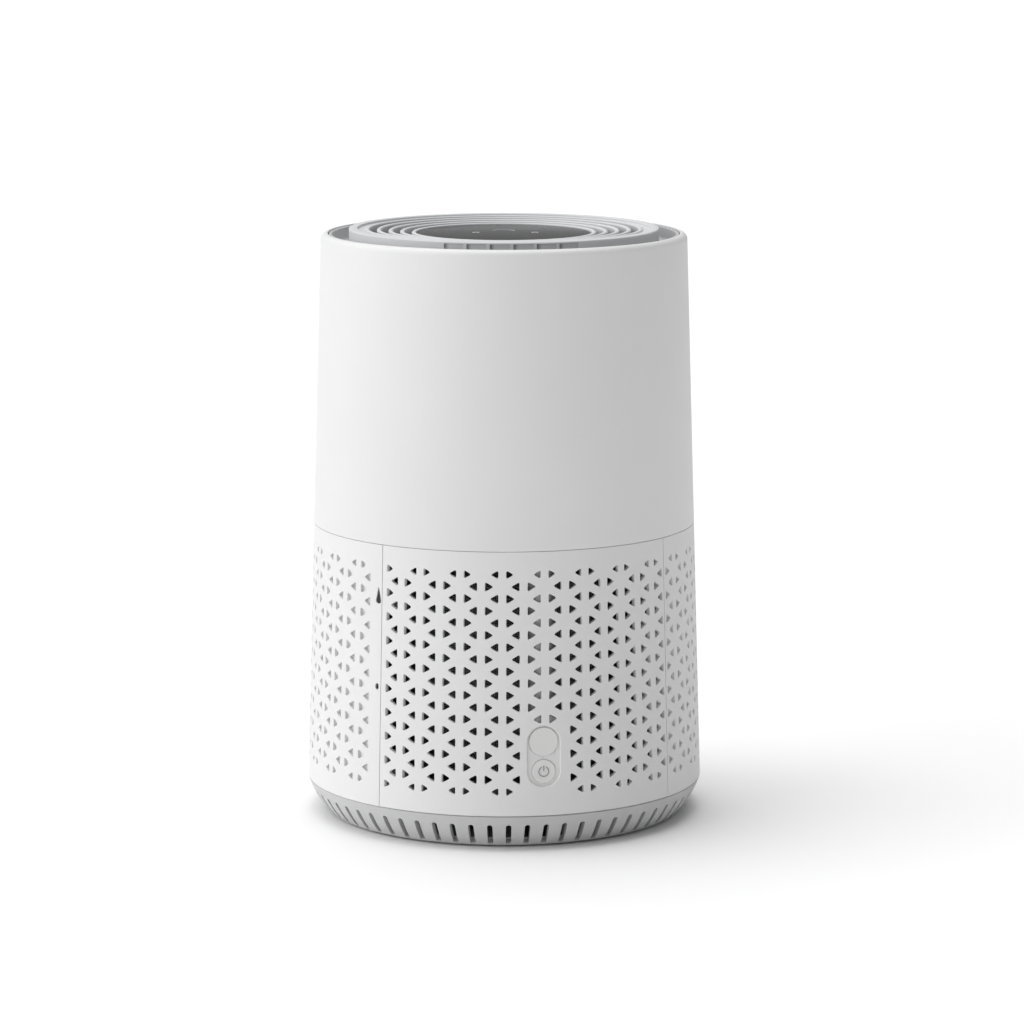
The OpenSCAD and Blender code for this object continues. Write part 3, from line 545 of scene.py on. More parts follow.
def rounded(points: Sequence[Point], radii: dict[int, float], steps: int = 4) -> list[Point]:
    """Rounds corners of a closed half section.

    Args:
        points: the corners, in order, in millimetres.
        radii: index of a corner to its rounding radius.
        steps: segments of each round.

    Returns:
        The outline with an arc in place of each named corner.
    """
    out: list[Point] = []
    count = len(points)
    for i, corner in enumerate(points):
        radius = radii.get(i, 0.0)
        if not radius:
            out.append(corner)
            continue
        here = Vector(corner)
        before = (Vector(points[i - 1]) - here).normalized()
        after = (Vector(points[(i + 1) % count]) - here).normalized()
        half = before.angle(after) / 2
        middle = here + (before + after).normalized() * (radius / math.sin(half))
        first = here + before * (radius / math.tan(half)) - middle
        turn = first.angle_signed(here + after * (radius / math.tan(half)) - middle)
        for k in range(steps + 1):
            spoke = first.copy()
            spoke.rotate(Matrix.Rotation(-turn * k / steps, 2))
            out.append(tuple(middle + spoke))
    return out


def section_face(bm: bmesh.types.BMesh, points: Sequence[Point]) -> bmesh.types.BMFace:
    """Makes one face from a half section given as (radius, height) in millimetres, facing the front (-Y)."""
    verts = [bm.verts.new((0.0, -r * MM, z * MM)) for r, z in points]
    return bm.faces.new(verts)


def tidy_mesh(bm: bmesh.types.BMesh, merge_mm: float = 0.001) -> None:
    """Merges doubles and turns every face outwards."""
    bmesh.ops.remove_doubles(bm, verts=bm.verts[:], dist=merge_mm * MM)
    bmesh.ops.recalc_face_normals(bm, faces=bm.faces[:])


def soften(
    bm: bmesh.types.BMesh,
    geom: Sequence[bmesh.types.BMEdge | bmesh.types.BMVert],
    offset_mm: float,
    segments: int,
    affect: str = "EDGES",
    clamp: bool = False,
) -> None:
    """Bevels some geometry.

    Args:
        bm: the mesh.
        geom: its edges or corners.
        offset_mm: width of the bevel.
        segments: segments of the round.
        affect: EDGES or VERTICES.
        clamp: whether the bevel stops where it would meet another.
    """
    bmesh.ops.bevel(
        bm,
        geom=geom,
        offset=offset_mm * MM,
        offset_type="OFFSET",
        segments=segments,
        profile=0.5,
        affect=affect,
        material=-1,
        clamp_overlap=clamp,
    )


def plain_mesh(name: str, bm: bmesh.types.BMesh) -> bpy.types.Mesh:
    """Turns a bmesh, which is freed, into a mesh.

    Args:
        name: the mesh's name.
        bm: the bmesh.

    Returns:
        The mesh.
    """
    mesh = bpy.data.meshes.new(name)
    bm.to_mesh(mesh)
    bm.free()
    return mesh


def plain_object(name: str, bm: bmesh.types.BMesh) -> bpy.types.Object:
    """Turns a bmesh, which is freed, into an object in the scene.

    Args:
        name: the object's name.
        bm: the bmesh.

    Returns:
        The object.
    """
    made = bpy.data.objects.new(name, plain_mesh(name, bm))
    bpy.context.scene.collection.objects.link(made)
    return made


def dress(piece: bpy.types.Object, finish: Finish, sharp_deg: float) -> None:
    """Gives a piece one material and smooth faces.

    Args:
        piece: the object.
        finish: its finish.
        sharp_deg: edges that turn more than this stay sharp.
    """
    mesh = piece.data
    mesh.materials.clear()
    mesh.materials.append(finish.material())
    mesh.shade_smooth()
    mesh.set_sharp_from_angle(angle=math.radians(sharp_deg))


def new_piece(name: str, bm: bmesh.types.BMesh, finish: Finish) -> bpy.types.Object:
    """Turns a bmesh, which is freed, into an object with its finish.

    Args:
        name: the piece's name.
        bm: its mesh.
        finish: its finish.

    Returns:
        The object.
    """
    made = plain_object(name, bm)
    dress(made, finish, 35.0)
    return made


def turned_mesh(points: Sequence[Point], segments: int = 192) -> bmesh.types.BMesh:
    """Spins a closed half section all the way round the Z axis.

    Args:
        points: the half section as (radius, height) in millimetres.
        segments: steps of the turn.

    Returns:
        The closed mesh.
    """
    bm = bmesh.new()
    face = section_face(bm, points)
    edges = face.edges[:]
    bm.faces.remove(face)
    bmesh.ops.spin(
        bm, geom=edges, cent=(0, 0, 0), axis=(0, 0, 1), angle=2 * math.pi, steps=segments, use_merge=True
    )
    tidy_mesh(bm)
    return bm


def swept_mesh(points: Sequence[Point], start: float, end: float, step: float = 1.5) -> bmesh.types.BMesh:
    """Spins a closed half section part of the way round and closes both ends.

    Args:
        points: the half section as (radius, height) in millimetres.
        start: first azimuth in degrees.
        end: last azimuth in degrees.
        step: most degrees in one step.

    Returns:
        The closed mesh.
    """
    bm = bmesh.new()
    face = section_face(bm, points)
    bmesh.ops.rotate(bm, verts=bm.verts[:], cent=(0, 0, 0), matrix=Matrix.Rotation(math.radians(start), 3, "Z"))
    bmesh.ops.spin(
        bm,
        geom=[face, *face.edges, *face.verts],
        cent=(0, 0, 0),
        axis=(0, 0, 1),
        angle=math.radians(end - start),
        steps=math.ceil((end - start) / step),
    )
    tidy_mesh(bm)
    open_edges = [e for e in bm.edges if e.is_boundary]
    if open_edges:
        bmesh.ops.holes_fill(bm, edges=open_edges, sides=0)
        tidy_mesh(bm)
    return bm


def add_copies(bm: bmesh.types.BMesh, mesh: bpy.types.Mesh, places: Iterable[Matrix]) -> None:
    """Adds a copy of a mesh to a bmesh at each place.

    Args:
        bm: the bmesh.
        mesh: the mesh to copy.
        places: where each copy goes.
    """
    for place in places:
        start = len(bm.verts)
        bm.from_mesh(mesh)
        bm.verts.ensure_lookup_table()
        bmesh.ops.transform(bm, matrix=place, verts=bm.verts[start:])


def join(bm: bmesh.types.BMesh, other: bmesh.types.BMesh) -> None:
    """Adds another bmesh, which is freed.

    Args:
        bm: the bmesh that grows.
        other: the bmesh that is added.
    """
    mesh = plain_mesh("part", other)
    bm.from_mesh(mesh)
    bpy.data.meshes.remove(mesh)


def combine(target: bpy.types.Object, other: bpy.types.Object, operation: str) -> None:
    """Applies a boolean of another object, which is then deleted, to the target's mesh.

    Args:
        target: the object whose mesh is changed.
        other: the object it meets.
        operation: DIFFERENCE, UNION or INTERSECT.
    """
    cut = target.modifiers.new("cut", "BOOLEAN")
    cut.operation = operation
    cut.solver = "MANIFOLD"
    cut.object = other
    view = bpy.context.evaluated_depsgraph_get()
    result = bpy.data.meshes.new_from_object(target.evaluated_get(view))
    target.modifiers.clear()
    old = target.data
    target.data = result
    result.name = old.name
    bpy.data.meshes.remove(old)
    bpy.data.meshes.remove(other.data)


@dataclass(frozen=True)
class Taper:
    """The body's outer cone.

    Attributes:
        seam_r: radius at the seam over the base.
        seam_z: height of that seam.
        slope: radius lost for each millimetre of height.
    """

    seam_r: float = 110.0
    seam_z: float = 19.4
    slope: float = 0.0304

    def radius(self, z: float) -> float:
        """Outer radius at a height."""
        return self.seam_r - (z - self.seam_z) * self.slope

    def span(self, length: float) -> float:
        """Angle in degrees that a length takes at the seam's radius."""
        return math.degrees(length / self.seam_r)

    def section(self, low: float, high: float, thick: float) -> list[Point]:
        """Draws the half section of a wall between two heights, with its outer edges rounded.

        Args:
            low: lower height.
            high: upper height.
            thick: wall thickness.

        Returns:
            The closed outline.
        """
        out_low, out_high = self.radius(low), self.radius(high)
        corners = [(out_low - thick, low), (out_low, low), (out_high, high), (out_high - thick, high)]
        return rounded(corners, {1: EDGE_R, 2: EDGE_R}, 3)

    def core(self, low: float, high: float, skin: float) -> bmesh.types.BMesh:
        """Models the solid inside the wall, which overlaps a skin that is modelled round it.

        Args:
            low: lower height.
            high: upper height.
            skin: thickness of the skin.

        Returns:
            The solid's mesh.
        """
        inset = skin - SKIN_OVERLAP
        wide, narrow = self.radius(low) - inset, self.radius(high) - inset
        return turned_mesh([(AXIS_R, low), (wide, low), (narrow, high), (AXIS_R, high)], 264)

    def on_wall(self, azimuth: float, z: float) -> Matrix:
        """Gives a frame on the wall: x sideways, +y inwards and z up the wall, in metres.

        Args:
            azimuth: from the front (-Y) towards +X, in degrees.
            z: height in millimetres.

        Returns:
            The frame.
        """
        turn = Matrix.Rotation(math.radians(azimuth), 4, "Z")
        out = Matrix.Translation((0.0, -self.radius(z) * MM, z * MM))
        return turn @ out @ Matrix.Rotation(-math.atan(self.slope), 4, "X")

    @staticmethod
    def outwards(at: Vector, lean: float) -> Vector:
        """Direction away from the axis at a point, leaning upwards by an angle in radians."""
        return Vector((at.x, at.y, 0.0)).normalized() * math.cos(lean) + Vector((0, 0, math.sin(lean)))

    def smooth_wall(
        self, piece: bpy.types.Object, limit_deg: float = 12.0, lean: Callable[[float], float] | None = None
    ) -> None:
        """Gives every face that lies along the wall the wall's own normals, so holes leave no dents.

        Args:
            piece: the object whose mesh is shaded.
            limit_deg: how far a face may lean from the wall and still count.
            lean: the upward lean of the wall's normal, in radians, at a height in millimetres; the cone's own
                unless given.
        """
        lean = lean or (lambda z: math.atan(self.slope))
        mesh = piece.data
        limit = math.cos(math.radians(limit_deg))
        normals: list[Vector] = [Vector(c.vector) for c in mesh.corner_normals]
        for polygon in mesh.polygons:
            centre = polygon.center
            side = polygon.normal.dot(self.outwards(centre, lean(centre.z / MM)))
            if abs(side) < limit:
                continue
            for corner in polygon.loop_indices:
                at = mesh.vertices[mesh.loops[corner].vertex_index].co
                normals[corner] = self.outwards(at, lean(at.z / MM)) * math.copysign(1, side)
        mesh.normals_split_custom_set([tuple(n) for n in normals])


# ---- Cutters ----------------------------------------------------------------------------------------------


def push(bm: bmesh.types.BMesh, face: bmesh.types.BMFace, inwards: float) -> bmesh.types.BMFace:
    """Extrudes a face along +Y.

    Args:
        bm: the mesh.
        face: its face.
        inwards: distance in millimetres.

    Returns:
        The new end face.
    """
    made = bmesh.ops.extrude_face_region(bm, geom=[face, *face.edges, *face.verts])["geom"]
    bmesh.ops.translate(
        bm, verts=[g for g in made if isinstance(g, bmesh.types.BMVert)], vec=(0.0, inwards * MM, 0.0)
    )
    return next(g for g in made if isinstance(g, bmesh.types.BMFace))


@dataclass(frozen=True)
class Opening:
    """A hole or dimple cut into a wall, with a rounded mouth.

    Attributes:
        depth: how deep it goes, in millimetres.
        mouth: radius of the rounding at the surface, in millimetres.
        steps: segments of that rounding.
    """

    depth: float
    mouth: float
    steps: int = 3

    def outline(self, bm: bmesh.types.BMesh, grow: float) -> bmesh.types.BMFace:
        """Draws the outline in the XZ plane, larger all round by a distance in millimetres."""
        raise NotImplementedError

    def mesh(self, wall_r: float) -> bpy.types.Mesh:
        """Models the cutter for a round wall, with its mouth at y = 0.

        Args:
            wall_r: radius of the wall in millimetres.

        Returns:
            The cutter's mesh.
        """
        bm = bmesh.new()
        face = self.outline(bm, self.mouth)
        lead = 1.0
        bmesh.ops.translate(bm, verts=bm.verts[:], vec=(0.0, -lead * MM, 0.0))
        face = push(bm, face, lead)
        for i in range(1, self.steps + 1):
            last, now = (math.pi / 2 * k / self.steps for k in (i - 1, i))
            bm.normal_update()
            sign = 1 if face.normal.y > 0 else -1
            bmesh.ops.inset_individual(
                bm,
                faces=[face],
                thickness=self.mouth * (math.sin(now) - math.sin(last)) * MM,
                depth=sign * self.mouth * (math.cos(last) - math.cos(now)) * MM,
                use_even_offset=True,
            )
        push(bm, face, self.depth - self.mouth)
        for vert in bm.verts:
            x = vert.co.x / MM
            vert.co.y += (wall_r - math.sqrt(wall_r**2 - x**2)) * MM
        tidy_mesh(bm)
        return plain_mesh("cutter", bm)


@dataclass(frozen=True)
class TriangleOpening(Opening):
    """A triangle with its flat side upright and rounded corners.

    Attributes:
        side: length of a side before rounding.
        flat_x: where the flat side stands.
        corner: radius of the corners.
        points_right: whether the tip points to +x.
    """

    side: float = 5.5
    flat_x: float = 2.1
    corner: float = 0.7
    points_right: bool = True

    def outline(self, bm: bmesh.types.BMesh, grow: float) -> bmesh.types.BMFace:
        """Draws the triangle in the XZ plane.

        Args:
            bm: the mesh it is drawn in.
            grow: how much larger it is all round, in millimetres.

        Returns:
            The face.
        """
        sense = 1 if self.points_right else -1
        middle = sense * (self.flat_x + self.side / (2 * math.sqrt(3)))
        place = (
            Matrix.Translation((middle * MM, 0, 0))
            @ Matrix.Rotation(math.pi / 2, 4, "X")
            @ Matrix.Rotation(-sense * math.pi / 2, 4, "Z")
        )
        bmesh.ops.create_circle(
            bm, cap_ends=True, segments=3, radius=(self.side / math.sqrt(3) + 2 * grow) * MM, matrix=place
        )
        soften(bm, bm.verts[:], (self.corner + grow) * math.sqrt(3), 3, "VERTICES")
        return bm.faces[:][0]


@dataclass(frozen=True)
class CapsuleOpening(Opening):
    """An upright capsule, or a disc when its height is its width.

    Attributes:
        radius: radius of the ends.
        height: overall height.
        tip: half width of the upper end; the radius unless given.
        centre_z: height of the middle.
        segments: segments of both ends together.
    """

    radius: float = 3.0
    height: float = 6.0
    tip: float = 0.0
    centre_z: float = 0.0
    segments: int = 48

    def outline(self, bm: bmesh.types.BMesh, grow: float) -> bmesh.types.BMFace:
        """Draws the capsule in the XZ plane.

        Args:
            bm: the mesh it is drawn in.
            grow: how much larger it is all round, in millimetres.

        Returns:
            The face.
        """
        place = Matrix.Rotation(math.pi / 2, 4, "X") @ Matrix.Rotation(math.pi / self.segments, 4, "Z")
        bmesh.ops.create_circle(
            bm, cap_ends=True, segments=self.segments, radius=(self.radius + grow) * MM, matrix=place
        )
        rise = self.height / 2 - self.radius
        shrink = self.tip / self.radius if self.tip else 1.0
        upper = rise + (self.radius - self.tip if self.tip else 0.0)
        for vert in bm.verts:
            if vert.co.z > 0:
                vert.co = (vert.co.x * shrink, 0.0, vert.co.z * shrink + upper * MM)
            else:
                vert.co.z -= rise * MM
            vert.co.z += self.centre_z * MM
        return bm.faces[:][0]


@dataclass(frozen=True)
class SlotOpening(Opening):
    """An upright slot with a round top and a nearly square foot.

    Attributes:
        width: its width.
        height: its height.
        foot: radius of the lower corners.
    """

    width: float = 3.0
    height: float = 12.0
    foot: float = 0.3

    def outline(self, bm: bmesh.types.BMesh, grow: float) -> bmesh.types.BMFace:
        """Draws the slot in the XZ plane.

        Args:
            bm: the mesh it is drawn in.
            grow: how much larger it is all round, in millimetres.

        Returns:
            The face.
        """
        bmesh.ops.create_grid(
            bm, x_segments=1, y_segments=1, size=1.0, matrix=Matrix.Rotation(math.pi / 2, 4, "X")
        )
        half = Vector((self.width / 2 + grow, 0.0, self.height / 2 + grow)) * MM
        bmesh.ops.scale(bm, vec=(half.x, 1.0, half.z), verts=bm.verts[:])
        for upper, radius in ((True, 0.97 * (self.width / 2 + grow)), (False, self.foot + grow)):
            at_end = [v for v in bm.verts if abs(abs(v.co.z) - half.z) < 1e-7]
            soften(bm, [v for v in at_end if (v.co.z > half.z * 0.9) == upper], radius, 8, "VERTICES")
        return bm.faces[:][0]


def cut_openings(
    target: bpy.types.Object, cuts: Iterable[tuple[Opening, Matrix]], wall: Callable[[Matrix], float]
) -> None:
    """Cuts openings into a piece.

    Args:
        target: the piece.
        cuts: each opening with its place on the wall.
        wall: gives the wall's radius in millimetres at a place.
    """
    bm = bmesh.new()
    meshes: dict[tuple[Opening, int], bpy.types.Mesh] = {}
    for opening, place in cuts:
        key = (opening, round(wall(place)))
        if key not in meshes:
            meshes[key] = opening.mesh(float(key[1]))
        add_copies(bm, meshes[key], [place])
    for mesh in meshes.values():
        bpy.data.meshes.remove(mesh)
    combine(target, plain_object("cutters", bm), "DIFFERENCE")


def place_radius(place: Matrix) -> float:
    """Distance of a place from the body's axis, in millimetres."""
    return math.hypot(place.translation.x, place.translation.y) / MM


def core_copy(node: bpy.types.Object, keep: bmesh.types.BMesh) -> bpy.types.Object:
    """Copies a node's solid, closes its mesh and keeps only what lies inside another solid.

    Args:
        node: the node's object, which is left alone.
        keep: the other solid.

    Returns:
        The new object.
    """
    bm = bmesh.new()
    bm.from_mesh(node.data)
    bmesh.ops.remove_doubles(bm, verts=bm.verts[:], dist=0.0005 * MM)
    bmesh.ops.dissolve_degenerate(bm, edges=bm.edges[:], dist=0.0001 * MM)
    bmesh.ops.recalc_face_normals(bm, faces=bm.faces[:])
    core = plain_object(node.name + "_core", bm)
    combine(core, plain_object("keep", keep), "INTERSECT")
    return core


def mount(piece: bpy.types.Object, body: Body, slot: str, *nodes: str) -> None:
    """Puts a finished piece on its body in place of the frame's nodes, and logs it.

    Args:
        piece: the finished piece.
        body: the body that it moves with.
        slot: a material slot's name; not used.
        nodes: the nodes it stands for.
    """
    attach(piece, body.value)
    if nodes:
        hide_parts(*nodes)
    LOG.info("%s: %d faces on %s", piece.name, len(piece.data.polygons), body.value)


# ---- Sub-assemblies ---------------------------------------------------------------------------------------


@dataclass
class Base:
    """The grey slotted foot ring.

    Attributes:
        wall: the ring's cone.
        bottom_r: radius at the floor edge.
        lift: height of the floor edge.
        thick: wall thickness.
        flange: thickness of the flange on top.
        sill_r: inner radius of that flange.
        slots: how many slots.
        slot_w: width of a slot.
        slot_low: lower end of a slot.
        slot_high: upper end of a slot.
        phase: azimuth of the first slot, in degrees.
        crown: how far the outer face swells between its edges.
        rim: how far the swell stays from each edge.
        cut: depth of a slot's cutter.
    """

    wall: Taper = field(default_factory=lambda: Taper(110.0, 19.4, -11.2 / 18.2))
    bottom_r: float = 98.8
    lift: float = 1.2
    thick: float = 2.9
    flange: float = 2.4
    sill_r: float = 84.0
    slots: int = 66
    slot_w: float = 3.0
    slot_low: float = 2.6
    slot_high: float = 14.9
    phase: float = 1.4
    crown: float = 1.3
    rim: float = 0.4
    cut: float = 5.6

    def crown_arc(self) -> tuple[Point, float]:
        """Finds the arc of the outer face.

        Returns:
            The centre as (radius, height), and the arc's radius.
        """
        low, high = Vector((self.bottom_r, self.lift)), Vector((self.wall.seam_r, self.wall.seam_z))
        chord = high - low
        radius = chord.length**2 / (8 * self.crown) + self.crown / 2
        inwards = Vector((-chord.y, chord.x)).normalized()
        return tuple((low + high) / 2 + inwards * (radius - self.crown)), radius

    def lean(self, z: float) -> float:
        """Upward lean of the outer face's normal at a height, in radians."""
        centre, radius = self.crown_arc()
        return math.asin(max(-1.0, min(1.0, (z - centre[1]) / radius)))

    def build(self) -> None:
        """Models the ring with its slots."""
        centre, radius = self.crown_arc()
        ends = [math.degrees(self.lean(z)) for z in (self.lift + self.rim, self.wall.seam_z - self.rim)]
        top, under = self.wall.seam_z, self.wall.seam_z - self.flange
        outline = rounded(
            [
                (self.bottom_r - self.thick, self.lift),
                (self.bottom_r - 0.3, self.lift),
                *arc(centre, radius, ends[0], ends[1], 12),
                (self.wall.seam_r - 0.5, top),
                (self.sill_r, top),
                (self.sill_r, under),
                (self.wall.radius(under) - self.thick, under),
            ],
            {0: 0.3},
        )
        ring = new_piece("base_ring_moulding", turned_mesh(outline, 4 * self.slots), BASE_ABS)
        middle = (self.slot_low + self.slot_high) / 2
        lean = math.cos(math.atan(self.wall.slope))
        length = (self.slot_high - self.slot_low) / lean
        slot = SlotOpening(depth=self.cut, mouth=EDGE_R, width=self.slot_w, height=length)
        swell = Matrix.Translation((0.0, -self.crown * MM, 0.0))
        turns = [self.phase + i * 360 / self.slots for i in range(self.slots)]
        cut_openings(ring, [(slot, self.wall.on_wall(turn, middle) @ swell) for turn in turns], place_radius)
        dress(ring, BASE_ABS, 25.0)
        self.wall.smooth_wall(ring, lean=self.lean)
        mount(ring, Body.CASE, "grey_abs", "base_ring")


@dataclass
class Pattern:
    """The checkered triangles of the lower body.

    Attributes:
        wall: the body's cone.
        start: angle from the door's hinge edge to the first line.
        step: angle between upright lines.
        row0: height of the first row.
        row_step: height between rows.
        rows: how many rows.
        side: side of a triangle.
        flat_x: distance of its flat side from the line.
        end_scale: size of the first and last rows.
    """

    wall: Taper
    start: float = 0.5
    step: float = 6.15
    row0: float = 33.05
    row_step: float = 6.53
    rows: int = 19
    side: float = 5.5
    flat_x: float = 2.1
    end_scale: float = 0.87

    def openings(
        self,
        lines: Iterable[tuple[int, float, Sequence[bool]]],
        depth: float,
        mouth: float,
        clear: Callable[[float, float], bool],
    ) -> list[tuple[Opening, Matrix]]:
        """Lists the triangles on some lines.

        Args:
            lines: each line's number, azimuth and the ways its triangles point (True is to the right).
            depth: how deep they go.
            mouth: rounding at the surface.
            clear: says whether a triangle at an azimuth and a height is left in.

        Returns:
            Each opening with its place.
        """
        out: list[tuple[Opening, Matrix]] = []
        for number, azimuth, ways in lines:
            for row in range(self.rows):
                if (number + row) % 2:
                    continue
                z = self.row0 + row * self.row_step
                side = self.side * (self.end_scale if row in (0, self.rows - 1) else 1.0)
                for way in ways:
                    middle = azimuth + (1 if way else -1) * self.wall.span(self.flat_x + 2)
                    if not clear(middle, z):
                        continue
                    shape = TriangleOpening(
                        depth=depth, mouth=mouth, steps=2, side=side, flat_x=self.flat_x, points_right=way
                    )
                    out.append((shape, self.wall.on_wall(azimuth, z)))
        return out


@dataclass
class Door:
    """The perforated front door.

    Attributes:
        wall: the body's cone.
        pattern: its triangles.
        left: azimuth of the hinge edge.
        right: azimuth of the free edge.
        low: lower edge.
        high: upper edge.
        thick: wall thickness.
        lip: thickness of the wall at the hinge edge.
        pod_az: azimuth of the button pod.
        pod_z: height of the pod's middle.
        pod_r: radius of the pod's ends.
        pod_h: height of the pod.
        pod_mouth: rounding of the door round the pod.
        hole_mouth: rounding of the holes.
        lines: how many upright lines of holes.
        margin: plain width at both upright edges.
    """

    wall: Taper
    pattern: Pattern
    left: float = -37.8
    right: float = 54.6
    low: float = 19.75
    high: float = 162.75
    thick: float = 2.5
    lip: float = 1.2
    pod_az: float = 11.4
    pod_z: float = 52.0
    pod_r: float = 8.8
    pod_h: float = 33.3
    pod_mouth: float = 1.0
    hole_mouth: float = 0.22
    lines: int = 16
    margin: float = 2.4

    def clear(self, azimuth: float, z: float) -> bool:
        """Says whether a hole stays clear of the edges and of the button pod.

        Args:
            azimuth: the hole's azimuth in degrees.
            z: its height.

        Returns:
            True if the hole is left in.
        """
        edge = self.wall.span(self.margin)
        if not self.left + edge < azimuth < self.right - edge:
            return False
        beside = abs(math.radians(azimuth - self.pod_az)) * self.wall.seam_r > self.pod_r + 4
        return beside or z > self.pod_z + self.pod_h / 2 + 3

    def build(self) -> None:
        """Models the door panel."""
        outline = self.wall.section(self.low, self.high, self.thick)
        panel = new_piece("door_moulding", swept_mesh(outline, self.left, self.right, 1.2), WHITE_ABS)
        self.soften_ends(panel)
        under, over = self.low - 1, self.high + 1
        relief = [
            (self.wall.radius(self.low) - 9, under),
            (self.wall.radius(under) - self.lip, under),
            (self.wall.radius(over) - self.lip, over),
            (self.wall.radius(self.high) - 9, over),
        ]
        lip = swept_mesh(relief, self.left - 1, self.left + self.wall.span(1.8), 1.0)
        combine(panel, plain_object("lip", lip), "DIFFERENCE")
        start = self.left + self.pattern.start
        lines = [(j, start + j * self.pattern.step, (False, True)) for j in range(self.lines)]
        cuts = self.pattern.openings(lines, self.thick + 1.5, self.hole_mouth, self.clear)
        pod = CapsuleOpening(self.thick + 2, self.pod_mouth, 5, self.pod_r, self.pod_h, segments=96)
        cuts.append((pod, self.wall.on_wall(self.pod_az, self.pod_z)))
        cut_openings(panel, cuts, place_radius)
        dress(panel, WHITE_ABS, 25.0)
        self.wall.smooth_wall(panel)
        mount(panel, Body.DOOR, "white_abs", "door_panel")

    def soften_ends(self, panel: bpy.types.Object) -> None:
        """Bevels the upright outer edges at both ends of the panel.

        Args:
            panel: the door's object.
        """
        bm = bmesh.new()
        bm.from_mesh(panel.data)
        edges = []
        for edge in bm.edges:
            middle = (edge.verts[0].co + edge.verts[1].co) / 2
            azimuth = math.degrees(math.atan2(middle.x, -middle.y))
            upright = abs(edge.verts[0].co.z - edge.verts[1].co.z) > 100 * MM
            outside = math.hypot(middle.x, middle.y) > (self.wall.radius(middle.z / MM) - 1) * MM
            at_end = min(abs(azimuth - self.left), abs(azimuth - self.right)) < 0.1
            if upright and outside and at_end:
                edges.append(edge)
        soften(bm, edges, EDGE_R, 3, clamp=True)
        bm.to_mesh(panel.data)
        bm.free()


@dataclass
class LowerHousing:
    """The lower body round the door, with blind triangles at the sides.

    Attributes:
        wall: the body's cone.
        pattern: its triangles.
        left: azimuth of the edge beside the hinge.
        right: azimuth of the edge beside the door's free edge.
        low: lower edge.
        high: upper edge.
        skin: thickness of the outer layer that is modelled again.
        hinge_gap: gap beside the hinge edge in the frame.
        seen_gap: gap that the skin leaves there.
        free_gap: gap beside the free edge.
        rear_plain: half width of the plain band at the rear, in degrees.
        dimple: depth of the blind triangles.
        left_start: angle from the left edge to the first line of blind triangles.
        left_step: angle between the lines on the left.
        drop_r: radius of the teardrop.
        drop_h: its height.
        drop_tip: half width of its upper end.
        drop_z: height of its middle.
        spot_r: radius of the small hole.
        spot_h: its height.
        spot_z: height of its middle.
        plug_depth: how far the plugs in both sit back.
        plug_thick: thickness of the plugs.
        inlet_z: height of the power inlet.
        inlet_r: radius of its mouth.
    """

    wall: Taper
    pattern: Pattern
    left: float = -37.8
    right: float = 54.6
    low: float = 19.65
    high: float = 162.75
    skin: float = 2.2
    hinge_gap: float = 0.8
    seen_gap: float = 0.38
    free_gap: float = 0.4
    rear_plain: float = 32.0
    dimple: float = 1.9
    left_start: float = 3.6
    left_step: float = 6.25
    drop_r: float = 1.85
    drop_h: float = 9.0
    drop_tip: float = 0.45
    drop_z: float = 135.1
    spot_r: float = 1.15
    spot_h: float = 3.4
    spot_z: float = 85.4
    plug_depth: float = 0.9
    plug_thick: float = 1.5
    inlet_z: float = 32.4
    inlet_r: float = 5.6

    def build(self, node: bpy.types.Object) -> None:
        """Models the housing round the working parts of its node.

        Args:
            node: the housing's node.
        """
        outline = self.wall.section(self.low, self.high, self.skin)
        start = self.right + self.wall.span(self.free_gap)
        end = 360 + self.left - self.wall.span(self.seen_gap)
        shell = new_piece("housing_moulding", swept_mesh(outline, start, end, 1.5), WHITE_ABS)
        combine(shell, core_copy(node, self.wall.core(0.0, 200.0, self.skin)), "UNION")
        cut_openings(shell, self.cuts(), place_radius)
        dress(shell, WHITE_ABS, 25.0)
        self.wall.smooth_wall(shell)
        mount(shell, Body.CASE, "white_abs", "lower_housing")
        self.build_plugs()

    def marks(self) -> list[tuple[CapsuleOpening, Matrix]]:
        """Lists the teardrop and the small hole beside the hinge.

        Returns:
            Each opening with its place.
        """
        span = self.wall.span
        drop = CapsuleOpening(4.5, 0.12, 2, self.drop_r, self.drop_h, self.drop_tip, segments=32)
        spot = CapsuleOpening(4.5, 0.1, 2, self.spot_r, self.spot_h, segments=32)
        return [
            (drop, self.wall.on_wall(self.left - span(self.hinge_gap + 2.0), self.drop_z)),
            (spot, self.wall.on_wall(self.left - span(self.hinge_gap + 2.2), self.spot_z)),
        ]

    def build_plugs(self) -> None:
        """Models the rubber plugs that sit back in those two holes."""
        bm = bmesh.new()
        for shape, place in self.marks():
            plug = bmesh.new()
            face = shape.outline(plug, -0.03)
            bmesh.ops.translate(plug, verts=plug.verts[:], vec=(0, self.plug_depth * MM, 0))
            push(plug, face, self.plug_thick)
            tidy_mesh(plug)
            bmesh.ops.transform(plug, matrix=place, verts=plug.verts[:])
            join(bm, plug)
        mount(new_piece("hinge_side_plugs", bm, RUBBER), Body.CASE, "rubber")

    def cuts(self) -> list[tuple[Opening, Matrix]]:
        """Lists the blind triangles, the holes beside the hinge and the inlet's mouth.

        Returns:
            Each opening with its place.
        """
        both = (False, True)
        right = [(15 + i, self.right + i * self.pattern.step, both if i else (True,)) for i in range(16)]
        first = self.left - self.left_start
        left = [(-1 - i, first - i * self.left_step, both if i else (False,)) for i in range(17)]
        rear = 180 - self.rear_plain
        out = self.pattern.openings(right + left, self.dimple, EDGE_R, lambda azimuth, z: abs(azimuth) < rear)
        out.extend(self.marks())
        mouth = CapsuleOpening(3.0, 0.9, 4, self.inlet_r, 2 * self.inlet_r, segments=48)
        out.append((mouth, self.wall.on_wall(180.0, self.inlet_z)))
        return out


